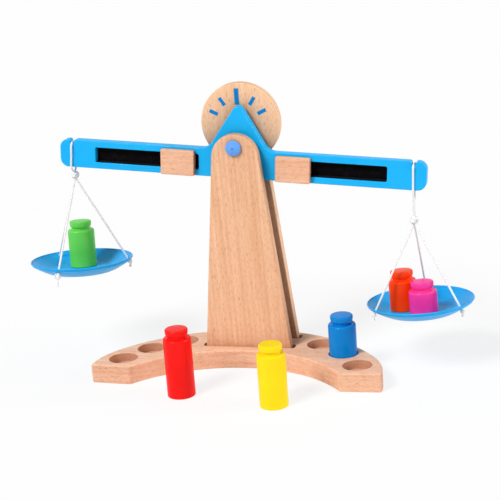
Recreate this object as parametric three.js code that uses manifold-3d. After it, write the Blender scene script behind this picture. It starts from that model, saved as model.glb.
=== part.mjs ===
// Toy balance scale: a wooden stand, a blue beam on a pivot peg, two hanging pans and six weights.
// Millimetres. +Z is up, +X runs along the beam to the viewer's right, and the viewer is at -Y.
// The origin is the middle of the base's underside. The beam is drawn as it rests, right end down.
import * as THREE from 'three';
import { mergeVertices } from 'three/addons/utils/BufferGeometryUtils.js';
import Module from 'manifold-3d';

const wasm = await Module();
wasm.setup();

// Gaps
const seatGap = 0.3;
const cutOverrun = 4;

// Facets
const roundSides = 24;
const socketSides = 30;
const smallSides = 12;
const knotSides = 10;
const knotRings = 6;
const domeSteps = 5;
const baseArcSteps = 13;
const boardArcSteps = 15;
const beamArcSteps = 4;
const cornerArcSteps = 2;

// Base: a crescent that opens towards the viewer, with three sockets on each arm. Its tips end
// short of the notches, so that weights in the sockets stand clear of the pans.
const baseThickness = 20;
const baseRounding = 1.5;
const tipInset = 27.8;
const tipWidth = 42.7;
const tipOuterY = -83.7;
const tipInnerY = -85.7;
const bayDepthY = -30.5;
const backY = 34;
const shoulderInset = 14.2;
const shoulderY = -38.2;
const tipBendShare = 0.45;
const socketDepth = 10;
const socketClearance = 0.8;
const socketCircleY = -120;
const socketCircleInset = 15.2;
const socketMiddleAngle = THREE.MathUtils.degToRad(41);
const socketStepAngle = THREE.MathUtils.degToRad(15.8);

// Stand: two boards in mortises, the rear one with a round dial head
const boardThickness = 10.2;
const boardGap = 19.4;
const boardRounding = 1;
const footHalfWidth = 45.9;
const taperAngle = THREE.MathUtils.degToRad(6.05);
const mortiseDepth = 15;
const mortiseEndMargin = 3.6;
const mortiseCornerRadius = 3.2;
const frontArcDrop = 10.7;
const dialRadius = 41.5;
const dialRise = 19.1;

// Wood screws that hold the boards from under the base
const screwSpread = 26;
const screwShankDiameter = 3.4;
const screwHeadDiameter = 7.4;
const screwHeadHeight = 2.4;
const screwHeadRecess = 0.6;
const screwLength = 30;

// Dial marks
const markThickness = 0.4;
const markShiftX = -1.6;
const markShiftZ = -0.8;
const longMarkInner = 20;
const longMarkOuter = 36.7;
const longMarkWidth = 4.9;
const shortMarkInner = 23.5;
const shortMarkOuter = 33;
const shortMarkWidth = 3.8;
const markAngles = [-64, -34, 0, 34, 64].map(THREE.MathUtils.degToRad);

// Pivot
const pivotHeight = 232.8;
const shaftDiameter = 8;
const pegHeadDiameter = 16;
const pegHeadHeight = 5.5;
const capBoreDepth = 2.6;
const spacerDiameter = 18;

// Beam, in its own frame: x along it from the pivot, y up from the pivot
const beamTilt = THREE.MathUtils.degToRad(4.23);
const beamHalfLength = 193.3;
const beamThickness = 10.5;
const beamRounding = 0.9;
const armTop = -5.8;
const armHeight = 29.4;
const armCornerRadius = 8.8;
const pointerTop = 39.3;
const pointerHalfAngle = THREE.MathUtils.degToRad(32.5);
const pointerTipRadius = 5.2;
const pointerFilletRadius = 14;
const notchInset = 13.3;
const notchDepth = 4.4;
const notchFlare = 0.9;
const notchMouthRadius = 2.3;

// Grooves in the beam's front, lined with black felt, and the sliders in them
const grooveInnerX = 41.3;
const grooveEndInset = 39.3;
const grooveHeight = 15.8;
const grooveDepth = 7;
const grooveCornerRadius = 1.8;
const feltThickness = 0.8;
const feltSetBack = 0.6;
const sliderLength = 36;
const sliderRise = 12.2;
const sliderFall = 14.1;
const sliderProud = 6;
const sliderRounding = 1.1;
const sliderCornerRadius = 1.5;
const tongueLength = 34;
const leftSliderTravel = 21.2;
const rightSliderTravel = 17.5;

// Cords
const cordDiameter = 2;
const cordSides = 8;
const loopSteps = 30;
const knotRadius = 4;
const knotEntryAngle = THREE.MathUtils.degToRad(30);
const stopperRadius = 2.3;
const tailLength = 7;
const cordHoleDiameter = 2.8;
const loopStraight = 26;
const loopGap = 0.6;

// Pans
const panRadius = 54.5;
const panWall = 1.8;
const panDepth = 12.8;
const panFloorRadius = 35;
const panRimRadius = 0.9;
const panRing = 0.7;
const panWallPower = 1.2;
const panWallSteps = 5;
const panSides = 44;
const cordHoleInset = 5.5;

// Weights: dowels turned to a body, a neck and a round cap
const weightDiameter = 28.4;
const weightCapDiameter = 23.2;
const weightNeckDiameter = 19.6;
const weightCapHeight = 7.2;
const weightNeckHeight = 2.2;
const weightShoulder = 2.4;
const weightCapRounding = 1.8;
const weightFootRounding = 0.8;
const weightSides = 26;
const shoulderShares = [0, 0.5, 1];
const capFootShares = [1, 0.6, 0.2];
const capTopShares = [0.2, 0.9];
const pairGap = 1.1;
const panEdgeGap = 1.8;
const greenOffset = 15.5;

// What hangs at each end: the loop's length from the notch to the knot and its lean, the pan's rim
// below the knot, the swing that the off-centre weights give it, and the bearing of its first cord
const leftKnotDrop = 34.5;
const leftHang = 90.5;
const rightKnotDrop = 56.4;
const rightHang = 82.5;
const hangers = [
  {
    side: 'left',
    direction: -1,
    knotDrop: leftKnotDrop,
    hang: leftHang,
    leanAngle: THREE.MathUtils.degToRad(3.9),
    swayAngle: THREE.MathUtils.degToRad(-5.2),
    swingAngle: THREE.MathUtils.degToRad(-0.7),
    bearing: THREE.MathUtils.degToRad(22),
  },
  {
    side: 'right',
    direction: 1,
    knotDrop: rightKnotDrop,
    hang: rightHang,
    leanAngle: THREE.MathUtils.degToRad(2.4),
    swayAngle: THREE.MathUtils.degToRad(-3.1),
    swingAngle: THREE.MathUtils.degToRad(-2.8),
    bearing: THREE.MathUtils.degToRad(-28),
  },
];
const cordsPerPan = 3;

// Heights of the weights and the places of those that stand on the table
const redHeight = 71;
const yellowHeight = 64.3;
const greenHeight = 49.7;
const blueHeight = 52;
const orangeHeight = 41;
const pinkHeight = 33.8;
const redX = -47.4;
const redY = -106.2;
const yellowX = 53.1;
const yellowY = -123.8;
const greenAzimuth = THREE.MathUtils.degToRad(107.5);
const orangeAzimuth = THREE.MathUtils.degToRad(163.6);
const pairAzimuth = THREE.MathUtils.degToRad(-38);

// Colours
const beech = { color: 0xf0c49c, roughness: 0.6 };
const basewood = { color: 0xe9b890, roughness: 0.6 };
const sliderwood = { color: 0xeeb295, roughness: 0.55 };
const skyBlue = { color: 0x1ebbfa, roughness: 0.4 };
const markBlue = { color: 0x0073af, roughness: 0.5 };
const pegBlue = { color: 0x5f96eb, roughness: 0.35 };
const panBlue = { color: 0x3ca5e1, roughness: 0.3 };
const feltBlack = { color: 0x141214, roughness: 0.95 };
const cordWhite = { color: 0xf4f4f2, roughness: 0.85 };
const steel = { color: 0xb8bcc0, roughness: 0.35, metalness: 0.9 };
const weights = {
  red: { height: redHeight, color: 0xfe1510 },
  yellow: { height: yellowHeight, color: 0xffe117 },
  green: { height: greenHeight, color: 0x55ba54 },
  blue: { height: blueHeight, color: 0x0385db },
  orange: { height: orangeHeight, color: 0xf04412 },
  pink: { height: pinkHeight, color: 0xe341a6 },
};

// Sizes that follow from those above
const boardBack = boardGap / 2;
const boardFront = boardBack + boardThickness;
const mortiseMiddleY = boardBack + boardThickness / 2;
const tenonZ = baseThickness - mortiseDepth + seatGap;
const beamFaceY = beamThickness / 2;
const armMiddle = armTop - armHeight / 2;
const notchX = beamHalfLength - notchInset;
const grooveOuterX = beamHalfLength - grooveEndInset;
const tipOuterX = notchX - tipInset;
const tipInnerX = tipOuterX - tipWidth;
const shoulderX = tipOuterX - shoulderInset;
const socketCircleRadius = tipOuterX - socketCircleInset;
const cordHoleRadius = panRadius - cordHoleInset;
const boreDiameter = shaftDiameter + 2 * seatGap;
const pinkReach = weightDiameter + pairGap;
const socketRadius = weightDiameter / 2 + socketClearance;
const dialZ = pivotHeight + dialRise;

// A geometry with shared vertices and no flat triangles, so that it is one closed body.
function closed(geometry) {
  geometry.deleteAttribute('normal');
  geometry.deleteAttribute('uv');
  const merged = mergeVertices(geometry);
  const faces = merged.index.array;
  const kept = [];
  for (let i = 0; i < faces.length; i += 3) {
    const [a, b, c] = [faces[i], faces[i + 1], faces[i + 2]];
    if (a !== b && b !== c && c !== a) kept.push(a, b, c);
  }
  merged.setIndex(kept);
  merged.computeVertexNormals();
  return merged;
}

function solid(geometry) {
  const body = closed(geometry);
  const vertProperties = Float32Array.from(body.attributes.position.array);
  const triVerts = Uint32Array.from(body.index.array);
  return new wasm.Manifold(new wasm.Mesh({ numProp: 3, vertProperties, triVerts }));
}

function fromSolid(body) {
  const { vertProperties, triVerts } = body.getMesh();
  const geometry = new THREE.BufferGeometry();
  geometry.setAttribute('position', new THREE.BufferAttribute(vertProperties, 3));
  geometry.setIndex(new THREE.BufferAttribute(triVerts, 1));
  geometry.computeVertexNormals();
  return geometry;
}

function cut(geometry, tools) {
  return fromSolid(tools.reduce((body, tool) => body.subtract(solid(tool)), solid(geometry)));
}

function join(geometries) {
  return fromSolid(geometries.map(solid).reduce((body, part) => body.add(part)));
}

function piece(name, geometry, look) {
  const mesh = new THREE.Mesh(geometry, new THREE.MeshStandardMaterial({ metalness: 0, ...look }));
  mesh.name = name;
  return mesh;
}

// An outline through corners of [x, y, radius], each rounded by an arc of its radius.
function roundedOutline(corners) {
  const shape = new THREE.Shape();
  corners.forEach(([x, y, radius], i) => {
    const before = corners[(i + corners.length - 1) % corners.length];
    const after = corners[(i + 1) % corners.length];
    const corner = new THREE.Vector2(x, y);
    const back = new THREE.Vector2(before[0], before[1]).sub(corner).normalize();
    const on = new THREE.Vector2(after[0], after[1]).sub(corner).normalize();
    if (radius === 0) {
      if (i === 0) shape.moveTo(x, y);
      else shape.lineTo(x, y);
      return;
    }
    const half = Math.acos(back.dot(on)) / 2;
    const reach = radius / Math.tan(half);
    const start = corner.clone().addScaledVector(back, reach);
    const end = corner.clone().addScaledVector(on, reach);
    const inward = back.clone().add(on).normalize();
    const centre = corner.clone().addScaledVector(inward, radius / Math.sin(half));
    const clockwise = back.cross(on) > 0;
    if (i === 0) shape.moveTo(start.x, start.y);
    else shape.lineTo(start.x, start.y);
    const from = Math.atan2(start.y - centre.y, start.x - centre.x);
    const to = Math.atan2(end.y - centre.y, end.x - centre.x);
    shape.absarc(centre.x, centre.y, radius, from, to, clockwise);
  });
  shape.closePath();
  return shape;
}

function roundedRectangle(left, right, bottom, top, radius) {
  return roundedOutline([
    [left, bottom, radius],
    [right, bottom, radius],
    [right, top, radius],
    [left, top, radius],
  ]);
}

// A plate from z = 0 to its thickness, with the edges of both faces rounded off.
function plate(shape, thickness, rounding, curveSegments) {
  const geometry = new THREE.ExtrudeGeometry(shape, {
    depth: thickness - 2 * rounding,
    bevelEnabled: rounding > 0,
    bevelThickness: rounding,
    bevelSize: rounding,
    bevelOffset: -rounding,
    bevelSegments: 1,
    curveSegments,
  });
  return geometry.translate(0, 0, rounding);
}

// The same plate standing up: the outline's y becomes z, and its thickness runs from y towards -Y.
function standingPlate(shape, thickness, rounding, curveSegments, y) {
  return plate(shape, thickness, rounding, curveSegments)
    .rotateX(Math.PI / 2)
    .translate(0, y, 0);
}

// A body of revolution about +Z from [radius, z] points, listed from the bottom up.
function turned(profile, segments) {
  const points = profile.map(([radius, z]) => new THREE.Vector2(radius, z));
  return new THREE.LatheGeometry(points, segments).rotateX(Math.PI / 2);
}

function cylinder(diameter, length, segments) {
  return new THREE.CylinderGeometry(diameter / 2, diameter / 2, length, segments);
}

// A round bar along Y between two values of y.
function barAlongY(diameter, fromY, toY, segments) {
  return cylinder(diameter, toY - fromY, segments).translate(0, (fromY + toY) / 2, 0);
}

function uprightBar(diameter, fromZ, toZ, segments) {
  return barAlongY(diameter, fromZ, toZ, segments).rotateX(Math.PI / 2);
}

function regularOutline(radius, sides) {
  const shape = new THREE.Shape();
  for (let i = 0; i < sides; i += 1) {
    const angle = (2 * Math.PI * i) / sides;
    const place = [radius * Math.cos(angle), radius * Math.sin(angle)];
    if (i === 0) shape.moveTo(...place);
    else shape.lineTo(...place);
  }
  shape.closePath();
  return shape;
}

function cordAlong(curve, steps) {
  const outline = regularOutline(cordDiameter / 2, cordSides);
  return new THREE.ExtrudeGeometry(outline, { steps, extrudePath: curve });
}

// Base
function socketPlaces() {
  const places = [];
  for (const direction of [-1, 1]) {
    for (const step of [-1, 0, 1]) {
      const angle = socketMiddleAngle + step * socketStepAngle;
      const x = direction * socketCircleRadius * Math.cos(angle);
      const y = socketCircleY + socketCircleRadius * Math.sin(angle);
      places.push(new THREE.Vector2(x, y));
    }
  }
  return places;
}

// The radius of an arc from its half width and its rise.
function arcRadius(halfWidth, rise) {
  return (halfWidth ** 2 + rise ** 2) / (2 * rise);
}

function baseOutline() {
  const backRadius = arcRadius(shoulderX, backY - shoulderY);
  const backCentreY = backY - backRadius;
  const shoulderAngle = Math.atan2(shoulderY - backCentreY, shoulderX);
  const bendY = shoulderY + tipBendShare * (tipOuterY - shoulderY);
  const bayRadius = arcRadius(tipInnerX, bayDepthY - tipInnerY);
  const bayCentreY = bayDepthY - bayRadius;
  const bayAngle = Math.atan2(tipInnerY - bayCentreY, tipInnerX);
  const shape = new THREE.Shape();
  shape.moveTo(tipOuterX, tipOuterY);
  shape.quadraticCurveTo(tipOuterX, bendY, shoulderX, shoulderY);
  shape.absarc(0, backCentreY, backRadius, shoulderAngle, Math.PI - shoulderAngle, false);
  shape.quadraticCurveTo(-tipOuterX, bendY, -tipOuterX, tipOuterY);
  shape.lineTo(-tipInnerX, tipInnerY);
  shape.absarc(0, bayCentreY, bayRadius, Math.PI - bayAngle, bayAngle, true);
  shape.closePath();
  return shape;
}

function screwPlaces() {
  const places = [];
  for (const y of [-mortiseMiddleY, mortiseMiddleY]) {
    for (const x of [-screwSpread, screwSpread]) places.push(new THREE.Vector2(x, y));
  }
  return places;
}

// A countersunk screw's outline, made larger all round by a gap when it cuts its own hole.
function screwProfile(gap) {
  const shank = screwShankDiameter / 2 + gap;
  const head = screwHeadDiameter / 2 + gap;
  const headTop = screwHeadRecess + screwHeadHeight;
  const bottom = gap > 0 ? -cutOverrun : screwHeadRecess;
  return [
    [0, bottom],
    [head, bottom],
    [head, screwHeadRecess + gap],
    [shank, headTop + gap],
    [shank, screwHeadRecess + screwLength + gap],
    [0, screwHeadRecess + screwLength + gap],
  ];
}

function screwAt(place, gap) {
  return turned(screwProfile(gap), smallSides).translate(place.x, place.y, 0);
}

function base() {
  const socketFloor = baseThickness - socketDepth;
  const tools = socketPlaces().map(({ x, y }) =>
    uprightBar(2 * socketRadius, socketFloor, baseThickness + cutOverrun, socketSides).translate(x, y, 0),
  );
  const mortiseEnd = footHalfWidth + mortiseEndMargin;
  const mortiseHalfWidth = boardThickness / 2 + seatGap;
  for (const y of [-mortiseMiddleY, mortiseMiddleY]) {
    const outline = roundedRectangle(
      -mortiseEnd,
      mortiseEnd,
      y - mortiseHalfWidth,
      y + mortiseHalfWidth,
      mortiseCornerRadius,
    );
    const mortise = plate(outline, mortiseDepth + cutOverrun, 0, cornerArcSteps);
    tools.push(mortise.translate(0, 0, baseThickness - mortiseDepth));
  }
  screwPlaces().forEach((place) => tools.push(screwAt(place, seatGap)));
  const blank = plate(baseOutline(), baseThickness, baseRounding, baseArcSteps);
  return piece('base', cut(blank, tools), basewood);
}

function baseScrews() {
  return screwPlaces().map((place, i) => piece(`base_screw_${i + 1}`, screwAt(place, 0), steel));
}

// Stand
function halfWidthAt(z) {
  return footHalfWidth - (z - baseThickness) * Math.tan(taperAngle);
}

function startBoard() {
  const shape = new THREE.Shape();
  shape.moveTo(-footHalfWidth, baseThickness);
  shape.lineTo(-footHalfWidth, tenonZ);
  shape.lineTo(footHalfWidth, tenonZ);
  shape.lineTo(footHalfWidth, baseThickness);
  return shape;
}

function frontBoardOutline() {
  const arcZ = pivotHeight - frontArcDrop;
  const topRadius = halfWidthAt(arcZ) * Math.cos(taperAngle);
  const shape = startBoard();
  shape.absarc(0, arcZ, topRadius, taperAngle, Math.PI - taperAngle, false);
  shape.closePath();
  return shape;
}

// The board's side meets the dial's circle at the neck.
function rearBoardOutline() {
  const away = halfWidthAt(dialZ) * Math.cos(taperAngle);
  const along = Math.sqrt(dialRadius ** 2 - away ** 2);
  const neckX = away * Math.cos(taperAngle) + along * Math.sin(taperAngle);
  const neckZ = away * Math.sin(taperAngle) - along * Math.cos(taperAngle);
  const neckAngle = Math.atan2(neckZ, neckX);
  const shape = startBoard();
  shape.absarc(0, dialZ, dialRadius, neckAngle, Math.PI - neckAngle, false);
  shape.closePath();
  return shape;
}

function board(name, outline, rearY) {
  const screwHoles = screwPlaces().map((place) => screwAt(place, seatGap));
  const pivotBore = barAlongY(boreDiameter, -boardFront - cutOverrun, boardFront + cutOverrun, roundSides);
  const blank = standingPlate(outline, boardThickness, boardRounding, boardArcSteps, rearY);
  return piece(name, cut(blank, [pivotBore.translate(0, 0, pivotHeight), ...screwHoles]), beech);
}

// The marks are printed a little to the left of the dial's middle and below it.
function dialMark(angle, index) {
  const [inner, outer, width] = angle === 0
    ? [longMarkInner, longMarkOuter, longMarkWidth]
    : [shortMarkInner, shortMarkOuter, shortMarkWidth];
  const outline = roundedRectangle(-width / 2, width / 2, inner, outer, 0);
  const geometry = standingPlate(outline, markThickness, 0, 1, 0).rotateY(angle);
  const mark = piece(`dial_mark_${index + 1}`, closed(geometry), markBlue);
  mark.position.set(markShiftX, boardBack - seatGap, dialZ + markShiftZ);
  return mark;
}

// Pivot: a blue peg through both boards and the beam, with a spacer each side and a cap behind
function domeProfile(diameter, height) {
  const points = [[0, 0]];
  for (let i = 0; i <= domeSteps; i += 1) {
    const angle = (i / domeSteps) * (Math.PI / 2);
    points.push([(diameter / 2) * Math.cos(angle), height * Math.sin(angle)]);
  }
  points[points.length - 1][0] = 0;
  return points;
}

function dome() {
  return turned(domeProfile(pegHeadDiameter, pegHeadHeight), roundSides);
}

function pivotPeg() {
  const headY = -boardFront - seatGap;
  const head = dome().rotateX(Math.PI / 2).translate(0, headY, 0);
  const shaftEnd = boardFront + seatGap + capBoreDepth;
  const shaft = barAlongY(shaftDiameter, headY - pegHeadHeight / 2, shaftEnd, roundSides);
  const peg = piece('pivot_peg', join([head, shaft]), pegBlue);
  peg.position.z = pivotHeight;
  return peg;
}

function rearCap() {
  const seat = boardFront + seatGap;
  const blank = dome().rotateX(-Math.PI / 2).translate(0, seat, 0);
  const bore = barAlongY(boreDiameter, seat - cutOverrun, seat + capBoreDepth + seatGap, roundSides);
  const cap = piece('rear_cap', cut(blank, [bore]), pegBlue);
  cap.position.z = pivotHeight;
  return cap;
}

function spacer(name, direction) {
  const inner = beamFaceY + seatGap;
  const outer = boardBack - seatGap;
  const ring = barAlongY(spacerDiameter, inner, outer, roundSides);
  const bore = barAlongY(boreDiameter, inner - cutOverrun, outer + cutOverrun, roundSides);
  const mesh = piece(name, cut(ring, [bore]), beech);
  mesh.position.z = pivotHeight;
  mesh.rotation.z = direction > 0 ? 0 : Math.PI;
  return mesh;
}

// Beam
function notchCorners(direction) {
  const seat = armTop - notchDepth;
  const half = cordDiameter / 2 + loopGap;
  const x = direction * notchX;
  return [
    [x + half + notchFlare, armTop, notchMouthRadius],
    [x + half, seat, half / 2],
    [x - half, seat, half / 2],
    [x - half - notchFlare, armTop, notchMouthRadius],
  ];
}

function beamOutline() {
  const apex = pointerTop + pointerTipRadius * (1 / Math.sin(pointerHalfAngle) - 1);
  const pointerFoot = (apex - armTop) * Math.tan(pointerHalfAngle);
  const bottom = armTop - armHeight;
  return roundedOutline([
    [-beamHalfLength, bottom, armCornerRadius],
    [beamHalfLength, bottom, armCornerRadius],
    [beamHalfLength, armTop, armCornerRadius],
    ...notchCorners(1),
    [pointerFoot, armTop, pointerFilletRadius],
    [0, apex, pointerTipRadius],
    [-pointerFoot, armTop, pointerFilletRadius],
    ...notchCorners(-1),
    [-beamHalfLength, armTop, armCornerRadius],
  ]);
}

// The groove's outline drawn in from its edge all round, for the left (-1) or right (1) arm.
function grooveOutline(direction, inset) {
  const ends = [direction * (grooveInnerX + inset), direction * (grooveOuterX - inset)];
  const halfHeight = grooveHeight / 2 - inset;
  return roundedRectangle(
    Math.min(...ends),
    Math.max(...ends),
    armMiddle - halfHeight,
    armMiddle + halfHeight,
    grooveCornerRadius - inset,
  );
}

function beam() {
  const blank = standingPlate(beamOutline(), beamThickness, beamRounding, beamArcSteps, beamFaceY);
  const bore = barAlongY(boreDiameter, -beamFaceY - cutOverrun, beamFaceY + cutOverrun, roundSides);
  const floorY = -beamFaceY + grooveDepth;
  const grooves = [-1, 1].map((direction) =>
    standingPlate(grooveOutline(direction, 0), grooveDepth + cutOverrun, 0, cornerArcSteps, floorY),
  );
  return piece('beam', cut(blank, [bore, ...grooves]), skyBlue);
}

// A felt channel: the groove's floor and its two long walls, open at both ends.
function grooveLining(side, direction) {
  const floorY = -beamFaceY + grooveDepth - seatGap;
  const frontY = -beamFaceY + feltSetBack;
  const outline = grooveOutline(direction, seatGap);
  const channel = standingPlate(outline, floorY - frontY, 0, cornerArcSteps, floorY);
  const innerHeight = grooveHeight - 2 * (seatGap + feltThickness);
  const length = grooveOuterX - grooveInnerX + 2 * cutOverrun;
  const hollowBackY = floorY - feltThickness;
  const hollowFrontY = frontY - cutOverrun;
  const hollow = new THREE.BoxGeometry(length, hollowBackY - hollowFrontY, innerHeight);
  const middleX = (direction * (grooveInnerX + grooveOuterX)) / 2;
  hollow.translate(middleX, (hollowBackY + hollowFrontY) / 2, armMiddle);
  return piece(`${side}_groove_felt`, cut(channel, [hollow]), feltBlack);
}

// A beech block on the beam's face, with a tongue that the felt grips.
function slider(side, x) {
  const blockBackY = -beamFaceY - seatGap;
  const outline = roundedRectangle(
    -sliderLength / 2,
    sliderLength / 2,
    armMiddle - sliderFall,
    armMiddle + sliderRise,
    sliderCornerRadius,
  );
  const block = standingPlate(outline, sliderProud, sliderRounding, cornerArcSteps, blockBackY);
  const tongueBackY = -beamFaceY + grooveDepth - feltThickness - 2 * seatGap;
  const tongueHeight = grooveHeight - 2 * (feltThickness + 2 * seatGap);
  const tongueFrontY = blockBackY - sliderProud / 2;
  const tongue = new THREE.BoxGeometry(tongueLength, tongueBackY - tongueFrontY, tongueHeight);
  tongue.translate(0, (tongueBackY + tongueFrontY) / 2, armMiddle);
  const mesh = piece(`${side}_slider`, join([block, tongue]), sliderwood);
  mesh.position.x = x;
  return mesh;
}

// Cords and pans, in a frame whose origin is the notch's seat
function knotGeometry(radius) {
  return new THREE.SphereGeometry(radius, knotSides, knotRings);
}

// One cord over the notch and down both faces of the beam, to the knot below it.
function hangingLoop({ side, knotDrop, leanAngle }) {
  const crownZ = cordDiameter / 2 + loopGap;
  const runY = beamFaceY + cordDiameter / 2 + loopGap;
  const endReach = knotRadius + 2 * seatGap;
  const endY = endReach * Math.sin(knotEntryAngle);
  const half = [
    new THREE.Vector3(0, -endY, -knotDrop + endReach * Math.cos(knotEntryAngle)),
    new THREE.Vector3(0, -runY, -loopStraight),
    new THREE.Vector3(0, -runY, -loopStraight / 2),
    new THREE.Vector3(0, -runY, -crownZ),
    new THREE.Vector3(0, -beamFaceY + beamRounding / 2, crownZ),
    new THREE.Vector3(0, 0, crownZ),
  ];
  const otherHalf = half.slice(0, -1).reverse();
  const route = [...half, ...otherHalf.map(({ y, z }) => new THREE.Vector3(0, -y, z))];
  const cord = cordAlong(new THREE.CatmullRomCurve3(route, false, 'centripetal'), loopSteps);
  const mesh = piece(`${side}_loop`, closed(cord), cordWhite);
  mesh.rotation.y = leanAngle;
  return mesh;
}

// The knot that ties the loop's ends and the pan's cords together
function cordKnot({ side }) {
  return piece(`${side}_knot`, closed(knotGeometry(knotRadius)), cordWhite);
}

// Pan and cords, in a frame whose origin is the knot
function cordHole(hanger, index) {
  const bearing = hanger.bearing + (index * 2 * Math.PI) / cordsPerPan;
  const x = cordHoleRadius * Math.cos(bearing);
  const y = cordHoleRadius * Math.sin(bearing);
  return new THREE.Vector3(x, y, -hanger.hang - panDropAt(cordHoleRadius));
}

// How far the pan's inner face lies below the rim at a radius: flat inside, then a rising wall.
function panDropAt(radius) {
  const share = Math.max(0, (radius - panFloorRadius) / (panRadius - panFloorRadius));
  const floorDrop = panDepth - panWall;
  return floorDrop * (1 - share ** panWallPower);
}

function panProfile() {
  const inner = [];
  const outer = [];
  for (let i = 0; i <= panWallSteps; i += 1) {
    const share = i / panWallSteps;
    const radius = panFloorRadius + (panRadius - panWall - panFloorRadius) * share;
    inner.push([radius, -panDropAt(radius)]);
    const wallDrop = panWall * (1 - share) + panRimRadius * share;
    outer.push([radius + panWall * share, -panDropAt(radius) - wallDrop]);
  }
  const floorZ = -panDepth + panWall;
  const ringOuter = panFloorRadius - panRing;
  const ringInner = ringOuter - 2 * panRing;
  return [
    [0, -panDepth],
    ...outer,
    [panRadius, 0],
    [panRadius - panRimRadius, 0],
    ...inner.reverse(),
    [ringOuter, floorZ - panRing / 2],
    [ringInner, floorZ],
    [0, floorZ],
  ];
}

function pan(hanger) {
  const dish = turned(panProfile(), panSides).translate(0, 0, -hanger.hang);
  const tools = [];
  for (let i = 0; i < cordsPerPan; i += 1) {
    const hole = cordHole(hanger, i);
    const tool = uprightBar(cordHoleDiameter, -cutOverrun, cutOverrun, smallSides);
    tool.applyQuaternion(new THREE.Quaternion().setFromUnitVectors(
      new THREE.Vector3(0, 0, 1),
      hole.clone().negate().normalize(),
    ));
    tools.push(tool.translate(hole.x, hole.y, hole.z));
  }
  return piece(`${hanger.side}_pan`, cut(dish, tools), panBlue);
}

// A straight cord from the knot through the pan's wall to a stopper knot under it, and its tail.
function panCord(hanger, index) {
  const hole = cordHole(hanger, index);
  const spread = (cordDiameter / 2 + seatGap) / Math.sin(Math.PI / cordsPerPan);
  const start = new THREE.Vector3(hole.x, hole.y, 0).setLength(spread);
  start.z = -knotRadius - seatGap;
  const down = hole.clone().sub(start).normalize();
  const stopper = hole.clone().addScaledVector(down, panWall + seatGap + stopperRadius);
  const cord = cordAlong(new THREE.LineCurve3(start, stopper), 1);
  const knot = knotGeometry(stopperRadius).translate(stopper.x, stopper.y, stopper.z);
  const tail = uprightBar(cordDiameter, -stopperRadius - tailLength, 0, cordSides);
  tail.translate(stopper.x, stopper.y, stopper.z);
  return piece(`${hanger.side}_cord_${index + 1}`, join([cord, knot, tail]), cordWhite);
}

// Weights
function weightProfile(height) {
  const body = weightDiameter / 2;
  const neck = weightNeckDiameter / 2;
  const cap = weightCapDiameter / 2;
  const shoulderZ = height - weightCapHeight - weightNeckHeight;
  const capZ = height - weightCapHeight;
  const capTopZ = height - weightCapRounding;
  const points = [[0, 0], [body - weightFootRounding, 0], [body, weightFootRounding]];
  for (const share of shoulderShares) {
    const angle = (share * Math.PI) / 2;
    const inset = weightShoulder * (1 - Math.cos(angle));
    points.push([body - inset, shoulderZ - weightShoulder * (1 - Math.sin(angle))]);
  }
  points.push([neck, shoulderZ]);
  for (const share of capFootShares) {
    const angle = (share * Math.PI) / 2;
    const z = capTopZ - (capTopZ - capZ) * Math.sin(angle);
    points.push([cap - (cap - neck) * (1 - Math.cos(angle)), z]);
  }
  for (const share of capTopShares) {
    const angle = (share * Math.PI) / 2;
    const z = capTopZ + weightCapRounding * Math.sin(angle);
    points.push([cap - weightCapRounding * (1 - Math.cos(angle)), z]);
  }
  points.push([0, height]);
  return points;
}

function weight(name, place) {
  const { height, color } = weights[name];
  const geometry = closed(turned(weightProfile(height), weightSides));
  const mesh = piece(`${name}_weight`, geometry, { color, roughness: 0.25 });
  mesh.position.copy(place);
  return mesh;
}

function onPan(hanger, x, y) {
  return new THREE.Vector3(x, y, -hanger.hang - panDepth + panWall + seatGap);
}

function hangerGroup(hanger) {
  const group = new THREE.Group();
  const acrossBeam = new THREE.Vector3(0, 1, 0);
  const seat = new THREE.Vector3(hanger.direction * notchX, 0, armTop - notchDepth);
  group.position.copy(seat.applyAxisAngle(acrossBeam, beamTilt));
  group.position.z += pivotHeight;
  group.add(hangingLoop(hanger));
  const swinging = new THREE.Group();
  swinging.position.set(0, 0, -hanger.knotDrop).applyAxisAngle(acrossBeam, hanger.leanAngle);
  swinging.rotation.set(hanger.swayAngle, hanger.swingAngle, 0);
  swinging.add(cordKnot(hanger), pan(hanger));
  for (let i = 0; i < cordsPerPan; i += 1) swinging.add(panCord(hanger, i));
  swinging.add(...panWeights(hanger));
  group.add(swinging);
  return group;
}

// Green stands alone on the left pan, orange and pink side by side on the right one.
function panWeights(hanger) {
  if (hanger.side === 'left') {
    const place = onPan(hanger, greenOffset * Math.cos(greenAzimuth), greenOffset * Math.sin(greenAzimuth));
    return [weight('green', place)];
  }
  const reach = panFloorRadius - weightDiameter / 2 - panEdgeGap;
  const orange = onPan(hanger, reach * Math.cos(orangeAzimuth), reach * Math.sin(orangeAzimuth));
  const pink = orange.clone();
  pink.x += pinkReach * Math.cos(pairAzimuth);
  pink.y += pinkReach * Math.sin(pairAzimuth);
  return [weight('orange', orange), weight('pink', pink)];
}

function beamGroup() {
  const group = new THREE.Group();
  group.position.z = pivotHeight;
  group.rotation.y = beamTilt;
  group.add(beam(), grooveLining('left', -1), grooveLining('right', 1));
  group.add(slider('left', -grooveInnerX - leftSliderTravel));
  group.add(slider('right', grooveInnerX + rightSliderTravel));
  return group;
}

// Red and yellow stand on the table, and blue stands in the right arm's middle socket.
function looseWeights() {
  const [, , , , socket] = socketPlaces();
  return [
    weight('red', new THREE.Vector3(redX, redY, 0)),
    weight('yellow', new THREE.Vector3(yellowX, yellowY, 0)),
    weight('blue', new THREE.Vector3(socket.x, socket.y, baseThickness - socketDepth + seatGap)),
  ];
}

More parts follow.
